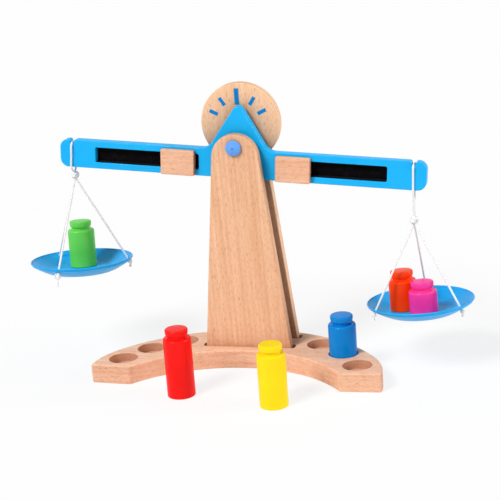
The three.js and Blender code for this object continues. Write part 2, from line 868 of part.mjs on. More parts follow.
const scale = new THREE.Group();
scale.add(base(), ...baseScrews());
scale.add(board('front_board', frontBoardOutline(), -boardBack));
scale.add(board('rear_board', rearBoardOutline(), boardFront));
scale.add(...markAngles.map(dialMark));
scale.add(pivotPeg(), rearCap(), spacer('front_spacer', -1), spacer('rear_spacer', 1));
scale.add(beamGroup(), ...hangers.map(hangerGroup), ...looseWeights());

export default scale;
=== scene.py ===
# Looks of the toy balance scale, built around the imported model.
# Sizes are in millimetres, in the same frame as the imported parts, and MM turns them into metres.
from math import acos, atan2, cos, hypot, pi, radians, sin, sqrt, tan

import bmesh
import bpy
import numpy as np
from mathutils import Matrix, Vector, noise


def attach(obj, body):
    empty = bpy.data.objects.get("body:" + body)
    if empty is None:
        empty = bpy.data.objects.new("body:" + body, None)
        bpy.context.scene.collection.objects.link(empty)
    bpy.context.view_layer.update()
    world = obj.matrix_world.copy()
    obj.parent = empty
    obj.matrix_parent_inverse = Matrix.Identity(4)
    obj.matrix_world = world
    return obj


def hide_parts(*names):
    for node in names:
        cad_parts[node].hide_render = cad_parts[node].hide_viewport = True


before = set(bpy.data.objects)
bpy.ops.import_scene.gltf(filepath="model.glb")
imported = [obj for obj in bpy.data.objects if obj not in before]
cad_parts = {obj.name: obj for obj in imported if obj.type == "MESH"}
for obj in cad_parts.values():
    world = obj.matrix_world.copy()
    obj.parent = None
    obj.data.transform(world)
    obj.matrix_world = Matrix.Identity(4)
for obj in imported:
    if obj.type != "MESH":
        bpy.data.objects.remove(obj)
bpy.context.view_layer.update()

MM = 0.001
QUARTER = radians(90)

# Camera, fitted to the photograph
CAMERA_AZIMUTH = radians(16.458)
CAMERA_ELEVATION = radians(16.452)
CAMERA_ROLL = radians(4.251)
CAMERA_DISTANCE = 1518.43
CAMERA_AIM = Vector((3.579, 0, 119.795))
IMAGE_PIXELS = 500
FOCAL_PIXELS = 1463.14
SENSOR_WIDTH = 36
CAMERA_NEAR = 50
CAMERA_FAR = 50000

# Light and floor: strength, spread and place of each lamp
AMBIENT = 0.27
LAMPS = {
    "key": (2.5, radians(20), Vector((-650, -1080, 1260))),
    "side": (1.6, radians(30), Vector((1300, 60, 420))),
}
FLOOR_SIZE = 8000
FLOOR_DROP = 0.02
FLOOR_WHITE = (0.95, 0.95, 0.95, 1)
FLOOR_GLOW_SHARE = 0.8

# Gaps, and how far a cutter runs past what it cuts
SEAT_GAP = 0.3
CORD_GAP = 0.15
OVERRUN = 4

# Base
BASE_THICKNESS = 20
BASE_ROUNDING = 1.8
TIP_OUTER = (152.2, -83.7)
TIP_INNER = (109.5, -85.7)
TIP_CORNER = 2.6
BAY_DEPTH_Y = -30.5
BACK_Y = 34
SHOULDER = (138, -38.2)
TIP_BEND_SHARE = 0.45
TIP_BEND_STEPS = 14
SOCKET_DEPTH = 10
SOCKET_RADIUS = 15
SOCKET_RIM = 0.7
SOCKET_CIRCLE_Y = -120
SOCKET_CIRCLE_RADIUS = 137
SOCKET_MIDDLE = radians(41)
SOCKET_STEP = radians(15.8)

# Boards
BOARD_THICKNESS = 10.2
BOARD_BACK = 9.7
BOARD_FRONT = BOARD_BACK + BOARD_THICKNESS
BOARD_MIDDLE = BOARD_BACK + BOARD_THICKNESS / 2
BOARD_ROUNDING = 1.2
FOOT_HALF_WIDTH = 45.9
TAPER = radians(6.05)
MORTISE_DEPTH = 15
MORTISE_HALF_LENGTH = 49.5
MORTISE_CORNER = 3.2
FRONT_ARC_DROP = 10.7
DIAL_RADIUS = 41.5
DIAL_RISE = 19.1

# Screws, with a cross cut into each head
SCREW_SPREAD = 26
SCREW_SHANK = 1.7
SCREW_HEAD = 3.7
SCREW_HEAD_HEIGHT = 2.4
SCREW_RECESS = 0.6
SCREW_LENGTH = 30
SCREW_BEVEL = 0.2
SCREW_BEVEL_HEIGHT = 0.25
SCREW_NECK = 1
SCREW_TIP = 4
SCREW_HOLE_SPARE = 2
THREAD_PITCH = 1.6
THREAD_DEPTH = 0.35
CROSS_HALF_LENGTH = 2.1
CROSS_HALF_WIDTH = 0.45
CROSS_CORNER = 0.3
CROSS_DEPTH = 1.4
CROSS_TURN = 0.4

# Dial marks: inner and outer radius and width
LONG_MARK = (20, 36.7, 4.9)
SHORT_MARK = (23.5, 33, 3.8)
MARK_ANGLES = [radians(a) for a in (-64, -34, 0, 34, 64)]
MARK_SHIFT = Vector((-1.6, 0, -0.8))
MARK_PROUD = 0.12
MARK_SUNK = 0.02
MARK_CORNER = 0.25
MARK_ROUNDING = 0.05

# Pivot, and the radius and depth of each point of the dimple in the peg's head
PIVOT_Z = 232.8
SHAFT_RADIUS = 4
SHAFT_BEVEL = 0.6
PEG_HEAD_RADIUS = 8
PEG_HEAD_HEIGHT = 4.6
PEG_BEVEL = 0.4
PEG_SIDE_SHARE = 0.3
PEG_EDGE = 2.6
PEG_EDGE_HEIGHT = 0.72 * PEG_EDGE
PEG_EDGE_TURN = radians(80)
PEG_CROWN_SPARE = 0.04
PEG_DIMPLE = [(1.15, 0.03), (0.95, 0.2), (0.8, 1.3), (0, 1.4)]
CAP_BORE_DEPTH = 2.6
SPACER_RADIUS = 9
SPACER_BEVEL = 0.5

# Beam, in its own frame: x along it and y up, from the pivot
BEAM_TILT = radians(4.23)
BEAM_HALF_LENGTH = 193.3
BEAM_FACE = 5.25
BEAM_ROUNDING = 1.1
ARM_TOP = -5.8
ARM_HEIGHT = 29.4
ARM_MIDDLE = ARM_TOP - ARM_HEIGHT / 2
ARM_CORNER = 8.8
POINTER_TOP = 39.3
POINTER_HALF_ANGLE = radians(32.5)
POINTER_TIP = 5.2
POINTER_FILLET = 14
NOTCH_X = 180
NOTCH_HALF = 1.6
NOTCH_DEPTH = 4.4
NOTCH_FLARE = 0.9
NOTCH_MOUTH = 2.3
GROOVE_INNER = 41.3
GROOVE_OUTER = 154
GROOVE_HEIGHT = 15.8
GROOVE_DEPTH = 7
GROOVE_CORNER = 1.8
GROOVE_RIM = 0.75
FELT_THICKNESS = 0.8
FELT_SET_BACK = 0.6
FELT_STEP = 0.9
FELT_TOUCH = 0.01
FUZZ_HEIGHT = 0.16
FUZZ_SCALE = 1.3
FUZZ_FLATTENING = 1.7
SLIDER_LENGTH = 36
SLIDER_RISE = 12.2
SLIDER_FALL = 14.1
SLIDER_PROUD = 6
SLIDER_ROUNDING = 1.1
SLIDER_CORNER = 1.5
SLIDER_X = {"left": -62.5, "right": 58.8}
TONGUE_LENGTH = 34
TONGUE_CORNER = 1
TONGUE_ROUNDING = 0.5

# Cords and knots, with the turn and tip of each pass of cord round a knot, in radians
CORD_RADIUS = 1.1
CORD_CORE_SHARE = 0.86
CORD_PLIES = 3
CORD_PLY_POWER = 0.7
CORD_START_SHARE = 1.1
CORD_PITCH = 5.5
CORD_SIDES = 18
CORD_STEP = 0.55
CORD_HOLE = 1.4
CORDS_PER_PAN = 3
KNOT_RADIUS = 4
KNOT_SWELL = 1.22
KNOT_MAJOR_SHARE = 0.6
KNOT_MINOR_SHARE = 0.4
KNOT_CORE_SHARE = 0.8
KNOT_PASSES = [(0.5, 0.35), (1.5, 1.1), (2.6, -0.7)]
STOPPER_PASSES = [(0, 0.35), (1.2, 1.1)]
STOPPER_TURN = 1.3
STOPPER_DROP_SHARE = 0.9
LOOP_STRAIGHT = 25.5
LOOP_END_SHARE = 0.8
LOOP_TUCK_SHARE = 0.55
LOOP_BEND_SHARE = 0.8
TAIL_ASIDE = 0.6
TAIL_TURN = 2.1
TAIL_FORWARD = 0.8
TAIL_BOW = 0.5
FRAY_SHARE = 0.35
FRAY_START_SHARE = 0.6

# Pans
PAN_RADIUS = 54.5
PAN_WALL = 1.8
PAN_THINNING_SHARE = 0.25
PAN_BEAD = 0.85
PAN_STEP = 0.35
PAN_DEPTH = 12.8
PAN_FLOOR = 35
PAN_FLOOR_BAND = 6
PAN_RING = 0.7
PAN_RING_BAND = 8
PAN_POWER = 1.2
CORD_HOLE_RADIUS = 49

# Weights
WEIGHT_RADIUS = 14.2
WEIGHT_SEGMENTS = 96
CAP_RADIUS = 11.6
CAP_ROUNDING = 1.7
CAP_CROWN = 0.35
CAP_CROWN_SHARES = (0.85, 0.65, 0.42, 0.2)
CAP_FULLNESS = 0.5
CAP_HEIGHT = 7.2
NECK_RADIUS = 9.3
NECK_HEIGHT = 2.2
NECK_FILLET = 0.5
SHOULDER_ROUNDING = 2.4
FOOT_ROUNDING = 0.9
FOOT_DISC_SHARE = 0.5
FOOT_GAP = 0.05
WEIGHT_HEIGHTS = {"red": 71, "yellow": 64.3, "green": 49.7, "blue": 52, "orange": 41, "pink": 33.8}
RED_PLACE = (-47.4, -106.2, 0)
YELLOW_PLACE = (53.1, -123.8, 0)
GREEN_REACH = 15.5
GREEN_AZIMUTH = radians(107.5)
ORANGE_REACH = 19
ORANGE_AZIMUTH = radians(163.6)
PAIR_SPACING = 29.5
PAIR_AZIMUTH = radians(-38)
BLUE_SOCKET = 4

# What hangs at each end of the beam
HANGERS = {
    "left": dict(
        direction=-1, knot_drop=34.5, lean=radians(3.9), run_aside=-0.8, hang=90.5,
        sway=radians(-5.2), swing=radians(-0.7), bearing=radians(22),
        tails=(3, 4, 7), stoppers=(2.7, 2.5, 4),
    ),
    "right": dict(
        direction=1, knot_drop=56.4, lean=radians(2.4), run_aside=0, hang=82.5,
        sway=radians(-3.1), swing=radians(-2.8), bearing=radians(-28),
        tails=(2.6, 3, 3.2), stoppers=(2.5, 2.5, 2.6),
    ),
}

# Colours, in screen values from 0 to 255: the colour itself and the one that it drifts to
BEECH = (246, 200, 163), (230, 174, 134)
# The rear board's beech is paler: partly its own tone, partly painted light that makes up for the shade it
# stands in
LIGHTENED_DIAL_BEECH = (255, 214, 177), (250, 195, 150)
BASE_BEECH = (252, 210, 180), (236, 182, 148)
SLIDER_BEECH = (248, 200, 167), (232, 173, 138)
FLECK = (172, 106, 68)
BASE_FLECK = (178, 98, 46)
BEAM_PAINT = (20, 178, 245), (28, 184, 250)
PEG_PAINT = (96, 158, 236), (110, 168, 242)
PAN_PLASTIC = (16, 164, 236), (30, 174, 244)
BLACK_FELT = (9, 8, 11), (40, 32, 30)
WHITE_COTTON = (226, 225, 223), (252, 252, 251)
ZINC = (176, 178, 180), (208, 208, 204)
MARK_INK = (4, 136, 204), (0, 118, 184)
WEIGHT_PAINTS = {
    "red": ((246, 18, 12), (236, 12, 8)),
    "yellow": ((250, 220, 16), (246, 212, 10)),
    "green": ((104, 214, 86), (96, 206, 80)),
    "blue": ((0, 132, 216), (0, 123, 206)),
    "orange": ((255, 66, 4), (255, 56, 0)),
    "pink": ((255, 62, 160), (250, 54, 152)),
}
WEIGHT_ROUGHNESS = 0.26
WEIGHT_COAT = 0.55

# Painted shade: wood is painted browner where it is closed in, as far off as the reach
PAINTED_SHADE_REACH = 36
PAINTED_SHADE_BROWN = (116, 34, 0)

# The turn that brings the grain's direction to Z, and where the tree's heart lies, in metres
GRAIN_TURN = {"X": (0, -QUARTER, 0), "Y": (QUARTER, 0, 0), "Z": (0, 0, 0)}
GRAIN_AXIS = {"X": (1, 0, 0), "Y": (0, 1, 0), "Z": (0, 0, 1)}
TREE_HEART = (0.071, 0.038, 0)


# Materials


def linear(colour):
    """A colour given in 0 to 255 screen values, as the shader wants it."""
    shares = [c / 255 for c in colour]
    return (*[c / 12.92 if c <= 0.04045 else ((c + 0.055) / 1.055) ** 2.4 for c in shares], 1)


class Nodes:
    """The nodes of a world or a material, and short calls to add and join them."""

    def __init__(self, owner):
        owner.use_nodes = True
        self.nodes = owner.node_tree.nodes
        self.links = owner.node_tree.links

    def feed(self, socket, value):
        """Joins a socket to another one, or sets it to a value."""
        if isinstance(value, bpy.types.NodeSocket):
            self.links.new(value, socket)
        else:
            socket.default_value = value

    def add(self, kind, inputs, **settings):
        """A node with its settings and with what goes into it, by name or number."""
        node = self.nodes.new(kind)
        for key, value in settings.items():
            setattr(node, key, value)
        for key, value in inputs.items():
            self.feed(node.inputs[key], value)
        return node

    def combined(self, operation, first, second):
        return self.add("ShaderNodeMath", {0: first, 1: second}, operation=operation).outputs[0]

    def seen_or_mirrored(self):
        """1 for what the camera sees, also in a mirroring or clear surface, and else 0."""
        rays = self.add("ShaderNodeLightPath", {}).outputs
        seen = self.combined("MAXIMUM", rays["Is Camera Ray"], rays["Is Glossy Ray"])
        return self.combined("MAXIMUM", seen, rays["Is Transmission Ray"])


class Shader(Nodes):
    """A material with patterns that follow the grain: its turn, and the shift of the patterns."""

    def __init__(self, name, turn=(0, 0, 0), shift=(0, 0, 0)):
        self.material = bpy.data.materials.new(name)
        super().__init__(self.material)
        self.principled = self.nodes["Principled BSDF"]
        self.places = self.add("ShaderNodeTexCoord", {}).outputs
        self.turn = turn
        self.shift = shift

    def stretched(self, scale, shift):
        """The place on the object, turned and moved, and then scaled along its axes."""
        place = {"Vector": self.places["Object"], "Rotation": self.turn, "Location": shift}
        place = self.add("ShaderNodeMapping", place).outputs["Vector"]
        return self.add("ShaderNodeMapping", {"Vector": place, "Scale": scale}).outputs["Vector"]

    def layer(self, across, along, detail=2, roughness=0.5, distortion=0):
        """Noise, with its scale across the grain and along it."""
        place = self.stretched((across, across, along), self.shift)
        values = {"Scale": 1, "Detail": detail, "Roughness": roughness, "Distortion": distortion}
        return self.add("ShaderNodeTexNoise", {"Vector": place, **values}).outputs["Fac"]

    def ramp(self, value, low, high, first, last):
        """The first colour up to the low value, the last one from the high value on."""
        node = self.add("ShaderNodeValToRGB", {"Fac": value})
        for element, position, colour in zip(node.color_ramp.elements, (low, high), (first, last)):
            element.position = position
            element.color = colour
        return node.outputs["Color"]

    def share(self, value, low, high, most=1):
        """0 up to the low value, and the most that is wanted from the high value on."""
        return self.ramp(value, low, high, (0, 0, 0, 1), (most, most, most, 1))

    def mix(self, share, first, second):
        return self.add("ShaderNodeMix", {0: share, 6: first, 7: second}, data_type="RGBA").outputs[2]

    def total(self, *terms, start=None):
        """The sum of values, each times its own share."""
        result = start
        for value, share in terms:
            part = self.combined("MULTIPLY", value, share)
            result = part if result is None else self.combined("ADD", result, part)
        return result

    def tinted(self, base, colour, value, share):
        """The base colour with some of another one: the value times the share."""
        return self.mix(self.total((value, share)), base, colour)

    def facing(self, axis):
        """1 where the surface faces along the axis, either way, and 0 at right angles to it."""
        node = self.add("ShaderNodeVectorMath", {0: self.places["Normal"], 1: axis}, operation="DOT_PRODUCT")
        return self.combined("ABSOLUTE", node.outputs["Value"], 0)

    def bump(self, height, strength, distance):
        values = {"Height": height, "Strength": strength, "Distance": distance * MM}
        self.feed(self.principled.inputs["Normal"], self.add("ShaderNodeBump", values).outputs["Normal"])

    def finish(self, **values):
        """Feeds the surface's own sockets and returns the material."""
        for key, value in values.items():
            self.feed(self.principled.inputs[key.replace("_", " ")], value)
        return self.material


def wood(name, colours, fleck, grain, lean=0, shift=(0, 0, 0), painted_side_shade=0, own_painted_shade_only=False,
         painted_shade_share=0.8):
    """Beech: soft streaks and growth rings along the grain, short flecks, darker end grain, and painted
    shade.

    The painted side shade is painted shade on the upright sides of a board that lies flat. Painted shade also
    browns the wood where it is closed in; with own painted shade only, it leaves out the pieces close by.
    """
    turn_x, turn_y, turn_z = GRAIN_TURN[grain]
    s = Shader(name, (turn_x, turn_y + lean, turn_z), shift)
    light, dark = map(linear, colours)
    streaks = s.layer(230, 9, 5, 0.62)
    bands = s.layer(60, 3.2, 2, 0.5, 0.6)
    heart = tuple(a + b for a, b in zip(shift, TREE_HEART))
    waves = {"Vector": s.stretched((1, 1, 0.06), heart), "Scale": 62, "Distortion": 2.2, "Detail": 2,
             "Detail Scale": 0.35}
    rings = s.add("ShaderNodeTexWave", waves, wave_type="RINGS", rings_direction="Z").outputs["Fac"]
    flecks = s.share(s.layer(1300, 170, 1), 0.58, 0.66)
    pores = s.share(s.layer(3000, 380, 1), 0.55, 0.68)
    end_grain = s.combined("POWER", s.facing(GRAIN_AXIS[grain]), 5)
    base = s.ramp(s.total((streaks, 0.6), (bands, 0.4), (rings, 0.08)), 0.38, 0.7, light, dark)
    for value, share in ((flecks, 0.36), (pores, 0.2), (end_grain, 0.3)):
        base = s.tinted(base, linear(fleck), value, share)
    # Painted shade: faces that don't face up are darkened towards the fleck colour
    if painted_side_shade:
        sideways = s.combined("SUBTRACT", 1, s.facing(GRAIN_AXIS["Z"]))
        base = s.tinted(base, linear(fleck), sideways, painted_side_shade)
    # Painted shade: an occlusion mask tints the wood brown where other surfaces close it in
    open_share = s.add("ShaderNodeAmbientOcclusion", {"Distance": PAINTED_SHADE_REACH * MM}, samples=8,
                       only_local=own_painted_shade_only).outputs["AO"]
    closed = s.combined("SUBTRACT", 1, open_share)
    base = s.tinted(base, linear(PAINTED_SHADE_BROWN), closed, painted_shade_share)
    s.bump(s.total((streaks, 0.4), (flecks, -0.5), (pores, -0.25)), 0.35, 0.12)
    return s.finish(Base_Color=base, Roughness=s.total((streaks, 0.2), (flecks, 0.1), start=0.42),
                    Specular_IOR_Level=0.15, Coat_Weight=0.03, Coat_Roughness=0.35)


def paint(name, colours, roughness, coat, grain="Z"):
    """Paint on wood: faint drifts of colour, and the grain and orange peel in its surface."""
    s = Shader(name, GRAIN_TURN[grain])
    colour, shade = map(linear, colours)
    drift = s.layer(45, 45, 3, 0.55)
    fibres = s.layer(900, 40, 3, 0.6)
    peel = s.layer(520, 520)
    base = s.mix(s.share(drift, 0.35, 0.75), colour, shade)
    base = s.mix(s.share(fibres, 0.58, 0.85, 0.35), base, shade)
    s.bump(s.total((fibres, 0.7), (peel, 0.3)), 0.3, 0.05)
    return s.finish(Base_Color=base, Roughness=s.total((drift, 0.12), start=roughness - 0.06),
                    Coat_Weight=coat, Coat_Roughness=0.14, Coat_IOR=1.35, Specular_IOR_Level=0)


def moulded_plastic(name, colours):
    """Moulded plastic, slightly cloudy, with fine flow marks."""
    s = Shader(name)
    cloud = s.layer(30, 60, 2, 0.5, 0.4)
    s.bump(s.layer(1400, 1400), 0.12, 0.03)
    return s.finish(Base_Color=s.mix(s.share(cloud, 0.35, 0.7), *map(linear, colours)),
                    Roughness=s.total((cloud, 0.14), start=0.26), Specular_IOR_Level=0.12,
                    Coat_Weight=0.08, Coat_Roughness=0.12, Coat_IOR=1.35)


def felt(name, colours):
    """Black felt: a mat of fibres with brownish lint."""
    s = Shader(name)
    colour, lint = map(linear, colours)
    fibres = s.layer(1500, 1500, 5, 0.7, 1.5)
    patches = s.layer(160, 220, 3, 0.6, 0.8)
    base = s.mix(s.share(fibres, 0.5, 0.8, 0.5), colour, lint)
    base = s.mix(s.share(patches, 0.52, 0.75, 0.4), base, lint)
    s.bump(fibres, 0.7, 0.3)
    return s.finish(Base_Color=base, Roughness=0.95, Specular_IOR_Level=0.03, Sheen_Weight=0.03,
                    Sheen_Roughness=0.5)


def fibrous(name, colours, layer, low, high, relief, **values):
    """A layer of fibres, in colour and relief, as on cotton or on ink sunk into the grain."""
    s = Shader(name)
    fibres = s.layer(*layer)
    s.bump(fibres, *relief)
    return s.finish(Base_Color=s.mix(s.share(fibres, low, high), *map(linear, colours)), **values)


def steel(name, colours):
    """Zinc-plated steel with fine turning marks."""
    s = Shader(name)
    marks = s.layer(900, 6000, 3, 0.6)
    s.bump(marks, 0.2, 0.03)
    return s.finish(Base_Color=s.mix(s.share(marks, 0.3, 0.7), *map(linear, colours)),
                    Roughness=s.total((marks, 0.2), start=0.25), Metallic=1)


def make_materials():
    materials = {
        "board": wood("board_beech", BEECH, FLECK, "Z", radians(1.5)),
        "dial": wood("dial_beech", LIGHTENED_DIAL_BEECH, FLECK, "Z", radians(-3), (0.013, 0.021, 0.04)),
        "base": wood("base_beech", BASE_BEECH, BASE_FLECK, "X", shift=(0.031, 0.017, 0.009),
                     painted_side_shade=0.22, own_painted_shade_only=True, painted_shade_share=0.5),
        "slider": wood("slider_beech", SLIDER_BEECH, FLECK, "X", shift=(0.052, 0.007, 0.019)),
        "spacer": wood("spacer_beech", BEECH, FLECK, "Y"),
        "beam": paint("sky_blue_paint", BEAM_PAINT, 0.4, 0.5, "X"),
        "peg": paint("peg_blue_paint", PEG_PAINT, 0.45, 0.25),
        "pan": moulded_plastic("pan_blue_plastic", PAN_PLASTIC),
        "felt": felt("black_felt", BLACK_FELT),
        "cord": fibrous("white_cotton", WHITE_COTTON, (2600, 900, 4, 0.65, 0.6), 0.3, 0.7, (0.5, 0.12),
                        Roughness=0.85, Specular_IOR_Level=0.15, Sheen_Weight=0.05, Sheen_Roughness=0.4),
        "steel": steel("zinc_steel", ZINC),
        "mark": fibrous("mark_ink", MARK_INK, (900, 90, 3, 0.6), 0.4, 0.75, (0.3, 0.05),
                        Roughness=0.55, Specular_IOR_Level=0.1),
    }
    for name, colours in WEIGHT_PAINTS.items():
        materials[name] = paint(f"{name}_paint", colours, WEIGHT_ROUGHNESS, WEIGHT_COAT)
    return materials


# Mesh making


def at(x, y, z):
    return Matrix.Translation((x, y, z))


def spin(angle, axis):
    return Matrix.Rotation(angle, 4, axis)


def aside(reach, azimuth, z=0):
    return Vector((reach * cos(azimuth), reach * sin(azimuth), z))


def put_in(name, data):
    thing = bpy.data.objects.new(name, data)
    bpy.context.scene.collection.objects.link(thing)
    return thing


def mesh_object(name, points, faces, place):
    """An object from points in millimetres, put in place by a matrix in millimetres."""
    mesh = bpy.data.meshes.new(name)
    mesh.from_pydata([tuple((place @ Vector(p)) * MM) for p in points], [], faces)
    mesh.update()
    return put_in(name, mesh)


def arc(centre_x, centre_y, radius, start, end, steps):
    """Points on an arc from one angle to another, both ends included."""
    angles = [start + (end - start) * i / steps for i in range(steps + 1)]
    return [(centre_x + radius * cos(a), centre_y + radius * sin(a)) for a in angles]


def bend(centre_x, centre_y, radius, start, end, steps):
    """An arc between two angles in degrees."""
    return arc(centre_x, centre_y, radius, radians(start), radians(end), steps)


def bow(end_x, end_y, middle_y, steps):
    """Points on an arc over (0, middle_y) from its right end to its left one."""
    rise = middle_y - end_y
    radius = (end_x ** 2 + rise ** 2) / (2 * rise)
    start = atan2(radius - rise, end_x)
    return arc(0, middle_y - radius, radius, start, pi - start, steps)


def mirrored(points):
    return [(-x, *others) for x, *others in reversed(points)]


def rounded(corners, steps):
    """An outline through corners of (x, y, radius), each rounded by an arc of its radius."""
    points = []
    for i, (x, y, radius) in enumerate(corners):
        if not radius:
            points.append((x, y))
            continue
        corner = Vector((x, y))
        back = (Vector(corners[i - 1][:2]) - corner).normalized()
        on = (Vector(corners[(i + 1) % len(corners)][:2]) - corner).normalized()
        half = acos(max(-1, min(1, back.dot(on)))) / 2
        centre = corner + (back + on).normalized() * (radius / sin(half))
        start = corner + back * (radius / tan(half))
        end = corner + on * (radius / tan(half))
        first = atan2(start.y - centre.y, start.x - centre.x)
        last = atan2(end.y - centre.y, end.x - centre.x)
        turn = (last - first + pi) % (2 * pi) - pi
        points.extend(arc(centre.x, centre.y, radius, first, first + turn, steps))
    return points


def rectangle(x, y, half_length, half_height, radius, steps=6):
    """A rounded rectangle about (x, y)."""
    sides = ((-1, -1), (1, -1), (1, 1), (-1, 1))
    return rounded([(x + i * half_length, y + j * half_height, radius) for i, j in sides], steps)


def drawn_in(outline, inset):
    """The outline moved in from its edge all round."""
    points = np.array(outline, float)
    ahead = np.roll(points, -1, axis=0) - points
    ahead /= np.maximum(np.linalg.norm(ahead, axis=1, keepdims=True), 1e-9)
    inward = np.stack([-ahead[:, 1], ahead[:, 0]], axis=1)
    before = np.roll(inward, 1, axis=0)
    scale = 1 + np.sum(inward * before, axis=1, keepdims=True)
    return points + inset * (inward + before) / np.maximum(scale, 0.2)


def skin(rings, endless=False):
    """Points and faces over rings of points, with both ends closed or, if endless, joined."""
    count = len(rings[0])
    points = [point for ring in rings for point in ring]
    faces = []
    if not endless:
        faces = [list(range(count))[::-1], list(range(len(points) - count, len(points)))]
    for k in range(len(rings) if endless else len(rings) - 1):
        low, high = k * count, (k + 1) % len(rings) * count
        for i in range(count):
            j = (i + 1) % count
            faces.append([low + i, low + j, high + j, high + i])
    return points, faces


def stacked(name, outline, levels, place):
    """A solid over an outline, drawn in at each level of (inset, height)."""
    rings = [[(x, y, height) for x, y in drawn_in(outline, inset)] for inset, height in levels]
    return mesh_object(name, *skin(rings), place)


def plate(name, outline, thickness, rounding=0, steps=4, place=Matrix.Identity(4)):
    """A plate on z = 0 with the edges of both faces rounded off."""
    low = bend(rounding, rounding, rounding, 270, 180, steps) if rounding else [(0, 0)]
    high = [(inset, thickness - height) for inset, height in reversed(low)]
    return stacked(name, outline, low + high, place)


def standing(y):
    """Stands a plate up: its outline's y becomes z, and its thickness runs from y towards -Y."""
    return at(0, y, 0) @ spin(QUARTER, "X")


def revolved(profile, segments):
    """Points and faces of a body turned about Z from (radius, z) points, bottom first."""
    points, rows, faces = [], [], []
    angles = [2 * pi * i / segments for i in range(segments)]
    for radius, z in profile:
        if radius < 1e-6:
            rows.append([len(points)] * segments)
            points.append((0, 0, z))
        else:
            rows.append([len(points) + i for i in range(segments)])
            points.extend((radius * cos(a), radius * sin(a), z) for a in angles)
    for low, high in zip(rows, rows[1:]):
        for i in range(segments):
            j = (i + 1) % segments
            face = list(dict.fromkeys([low[i], low[j], high[j], high[i]]))
            if len(face) > 2:
                faces.append(face)
    return points, faces


def turned(name, profile, segments, place):
    return mesh_object(name, *revolved(profile, segments), place)


def boolean(thing, tools, operation="DIFFERENCE"):
    """The object with each tool taken from it or added to it, in its own mesh."""
    for tool in tools:
        modifier = thing.modifiers.new("cut", "BOOLEAN")
        modifier.operation = operation
        modifier.solver = "EXACT"
        modifier.object = tool
        bpy.context.view_layer.update()
        graph = bpy.context.evaluated_depsgraph_get()
        mesh = bpy.data.meshes.new_from_object(thing.evaluated_get(graph))
        old = thing.data
        thing.modifiers.clear()
        thing.data = mesh
        bpy.data.meshes.remove(old)
        bpy.data.objects.remove(tool)
    return thing


def welded(thing, distance=1e-6):
    """Joins points that lie on each other, so that the surface is closed."""
    shape = bmesh.new()
    shape.from_mesh(thing.data)
    bmesh.ops.remove_doubles(shape, verts=shape.verts, dist=distance)
    bmesh.ops.recalc_face_normals(shape, faces=shape.faces)
    shape.to_mesh(thing.data)
    shape.free()
    return thing


def finished(thing, body, nodes, material, sharp=40):
    """Smooths the object's faces, gives it its material and hands it to the frame."""
    mesh = thing.data
    mesh.materials.clear()
    mesh.materials.append(material)
    mesh.shade_smooth()
    mesh.set_sharp_from_angle(angle=radians(sharp))
    modifier = thing.modifiers.new("even_faces", "WEIGHTED_NORMAL")
    modifier.keep_sharp = True
    modifier.weight = 100
    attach(thing, body)
    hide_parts(*nodes)


# Base


def socket_places():
    """The middles of three sockets on each arm, the outer one first."""
    right = arc(0, SOCKET_CIRCLE_Y, SOCKET_CIRCLE_RADIUS, SOCKET_MIDDLE - SOCKET_STEP,
                SOCKET_MIDDLE + SOCKET_STEP, 2)
    return [(-x, y) for x, y in right] + right


def base_outline():
    """A crescent: a bay in front, an arc at the back and a bend from each tip to its shoulder."""
    (tip_x, tip_y), (shoulder_x, shoulder_y) = TIP_OUTER, SHOULDER
    bend_y = shoulder_y + TIP_BEND_SHARE * (tip_y - shoulder_y)
    side = []
    for i in range(1, TIP_BEND_STEPS):
        t = i / TIP_BEND_STEPS
        y = (1 - t) ** 2 * tip_y + 2 * t * (1 - t) * bend_y + t ** 2 * shoulder_y
        side.append((tip_x + t ** 2 * (shoulder_x - tip_x), y))
    back = bow(*SHOULDER, BACK_Y, 72)
    bay = bow(*TIP_INNER, BAY_DEPTH_Y, 56)[::-1]
    corners = [(*bay[-2], 0), (*TIP_INNER, TIP_CORNER), (*TIP_OUTER, TIP_CORNER), (*side[1], 0)]
    right_tip = rounded(corners, 8)[1:-1]
    return right_tip + side[2:] + back + mirrored(side[2:]) + mirrored(right_tip) + bay[1:-1]


def flared_bore(radius, bottom, top, rim):
    """The half section of a cutter for a blind hole with a rounded rim."""
    mouth = bend(radius + rim, top - rim, rim, 180, 90, 5)
    return [(0, bottom), (radius - rim / 2, bottom), (radius, bottom + rim / 2), *mouth,
            (radius + rim, top + OVERRUN), (0, top + OVERRUN)]


def screw_places():
    return [(x, y) for y in (-BOARD_MIDDLE, BOARD_MIDDLE) for x in (-SCREW_SPREAD, SCREW_SPREAD)]


def screw_hole(x, y):
    head, shank = SCREW_HEAD + SEAT_GAP, SCREW_SHANK + SEAT_GAP
    end = SCREW_LENGTH + SCREW_HOLE_SPARE
    profile = [(0, -OVERRUN), (head, -OVERRUN), (head, SCREW_RECESS),
               (shank, SCREW_RECESS + SCREW_HEAD_HEIGHT + SEAT_GAP), (shank, end), (0, end)]
    return turned("screw_hole", profile, 32, at(x, y, 0))


def make_base(materials):
    base = plate("base_board", base_outline(), BASE_THICKNESS, BASE_ROUNDING, 5)
    tools = []
    for x, y in socket_places():
        profile = flared_bore(SOCKET_RADIUS, BASE_THICKNESS - SOCKET_DEPTH, BASE_THICKNESS, SOCKET_RIM)
        tools.append(turned("socket", profile, 72, at(x, y, 0)))
    half = BOARD_THICKNESS / 2 + SEAT_GAP
    for y in (-BOARD_MIDDLE, BOARD_MIDDLE):
        outline = rectangle(0, y, MORTISE_HALF_LENGTH, half, MORTISE_CORNER, 8)
        place = at(0, 0, BASE_THICKNESS - MORTISE_DEPTH)
        tools.append(plate("mortise", outline, MORTISE_DEPTH + OVERRUN, place=place))
    tools.extend(screw_hole(x, y) for x, y in screw_places())
    finished(boolean(base, tools), "stand", ["base"], materials["base"])


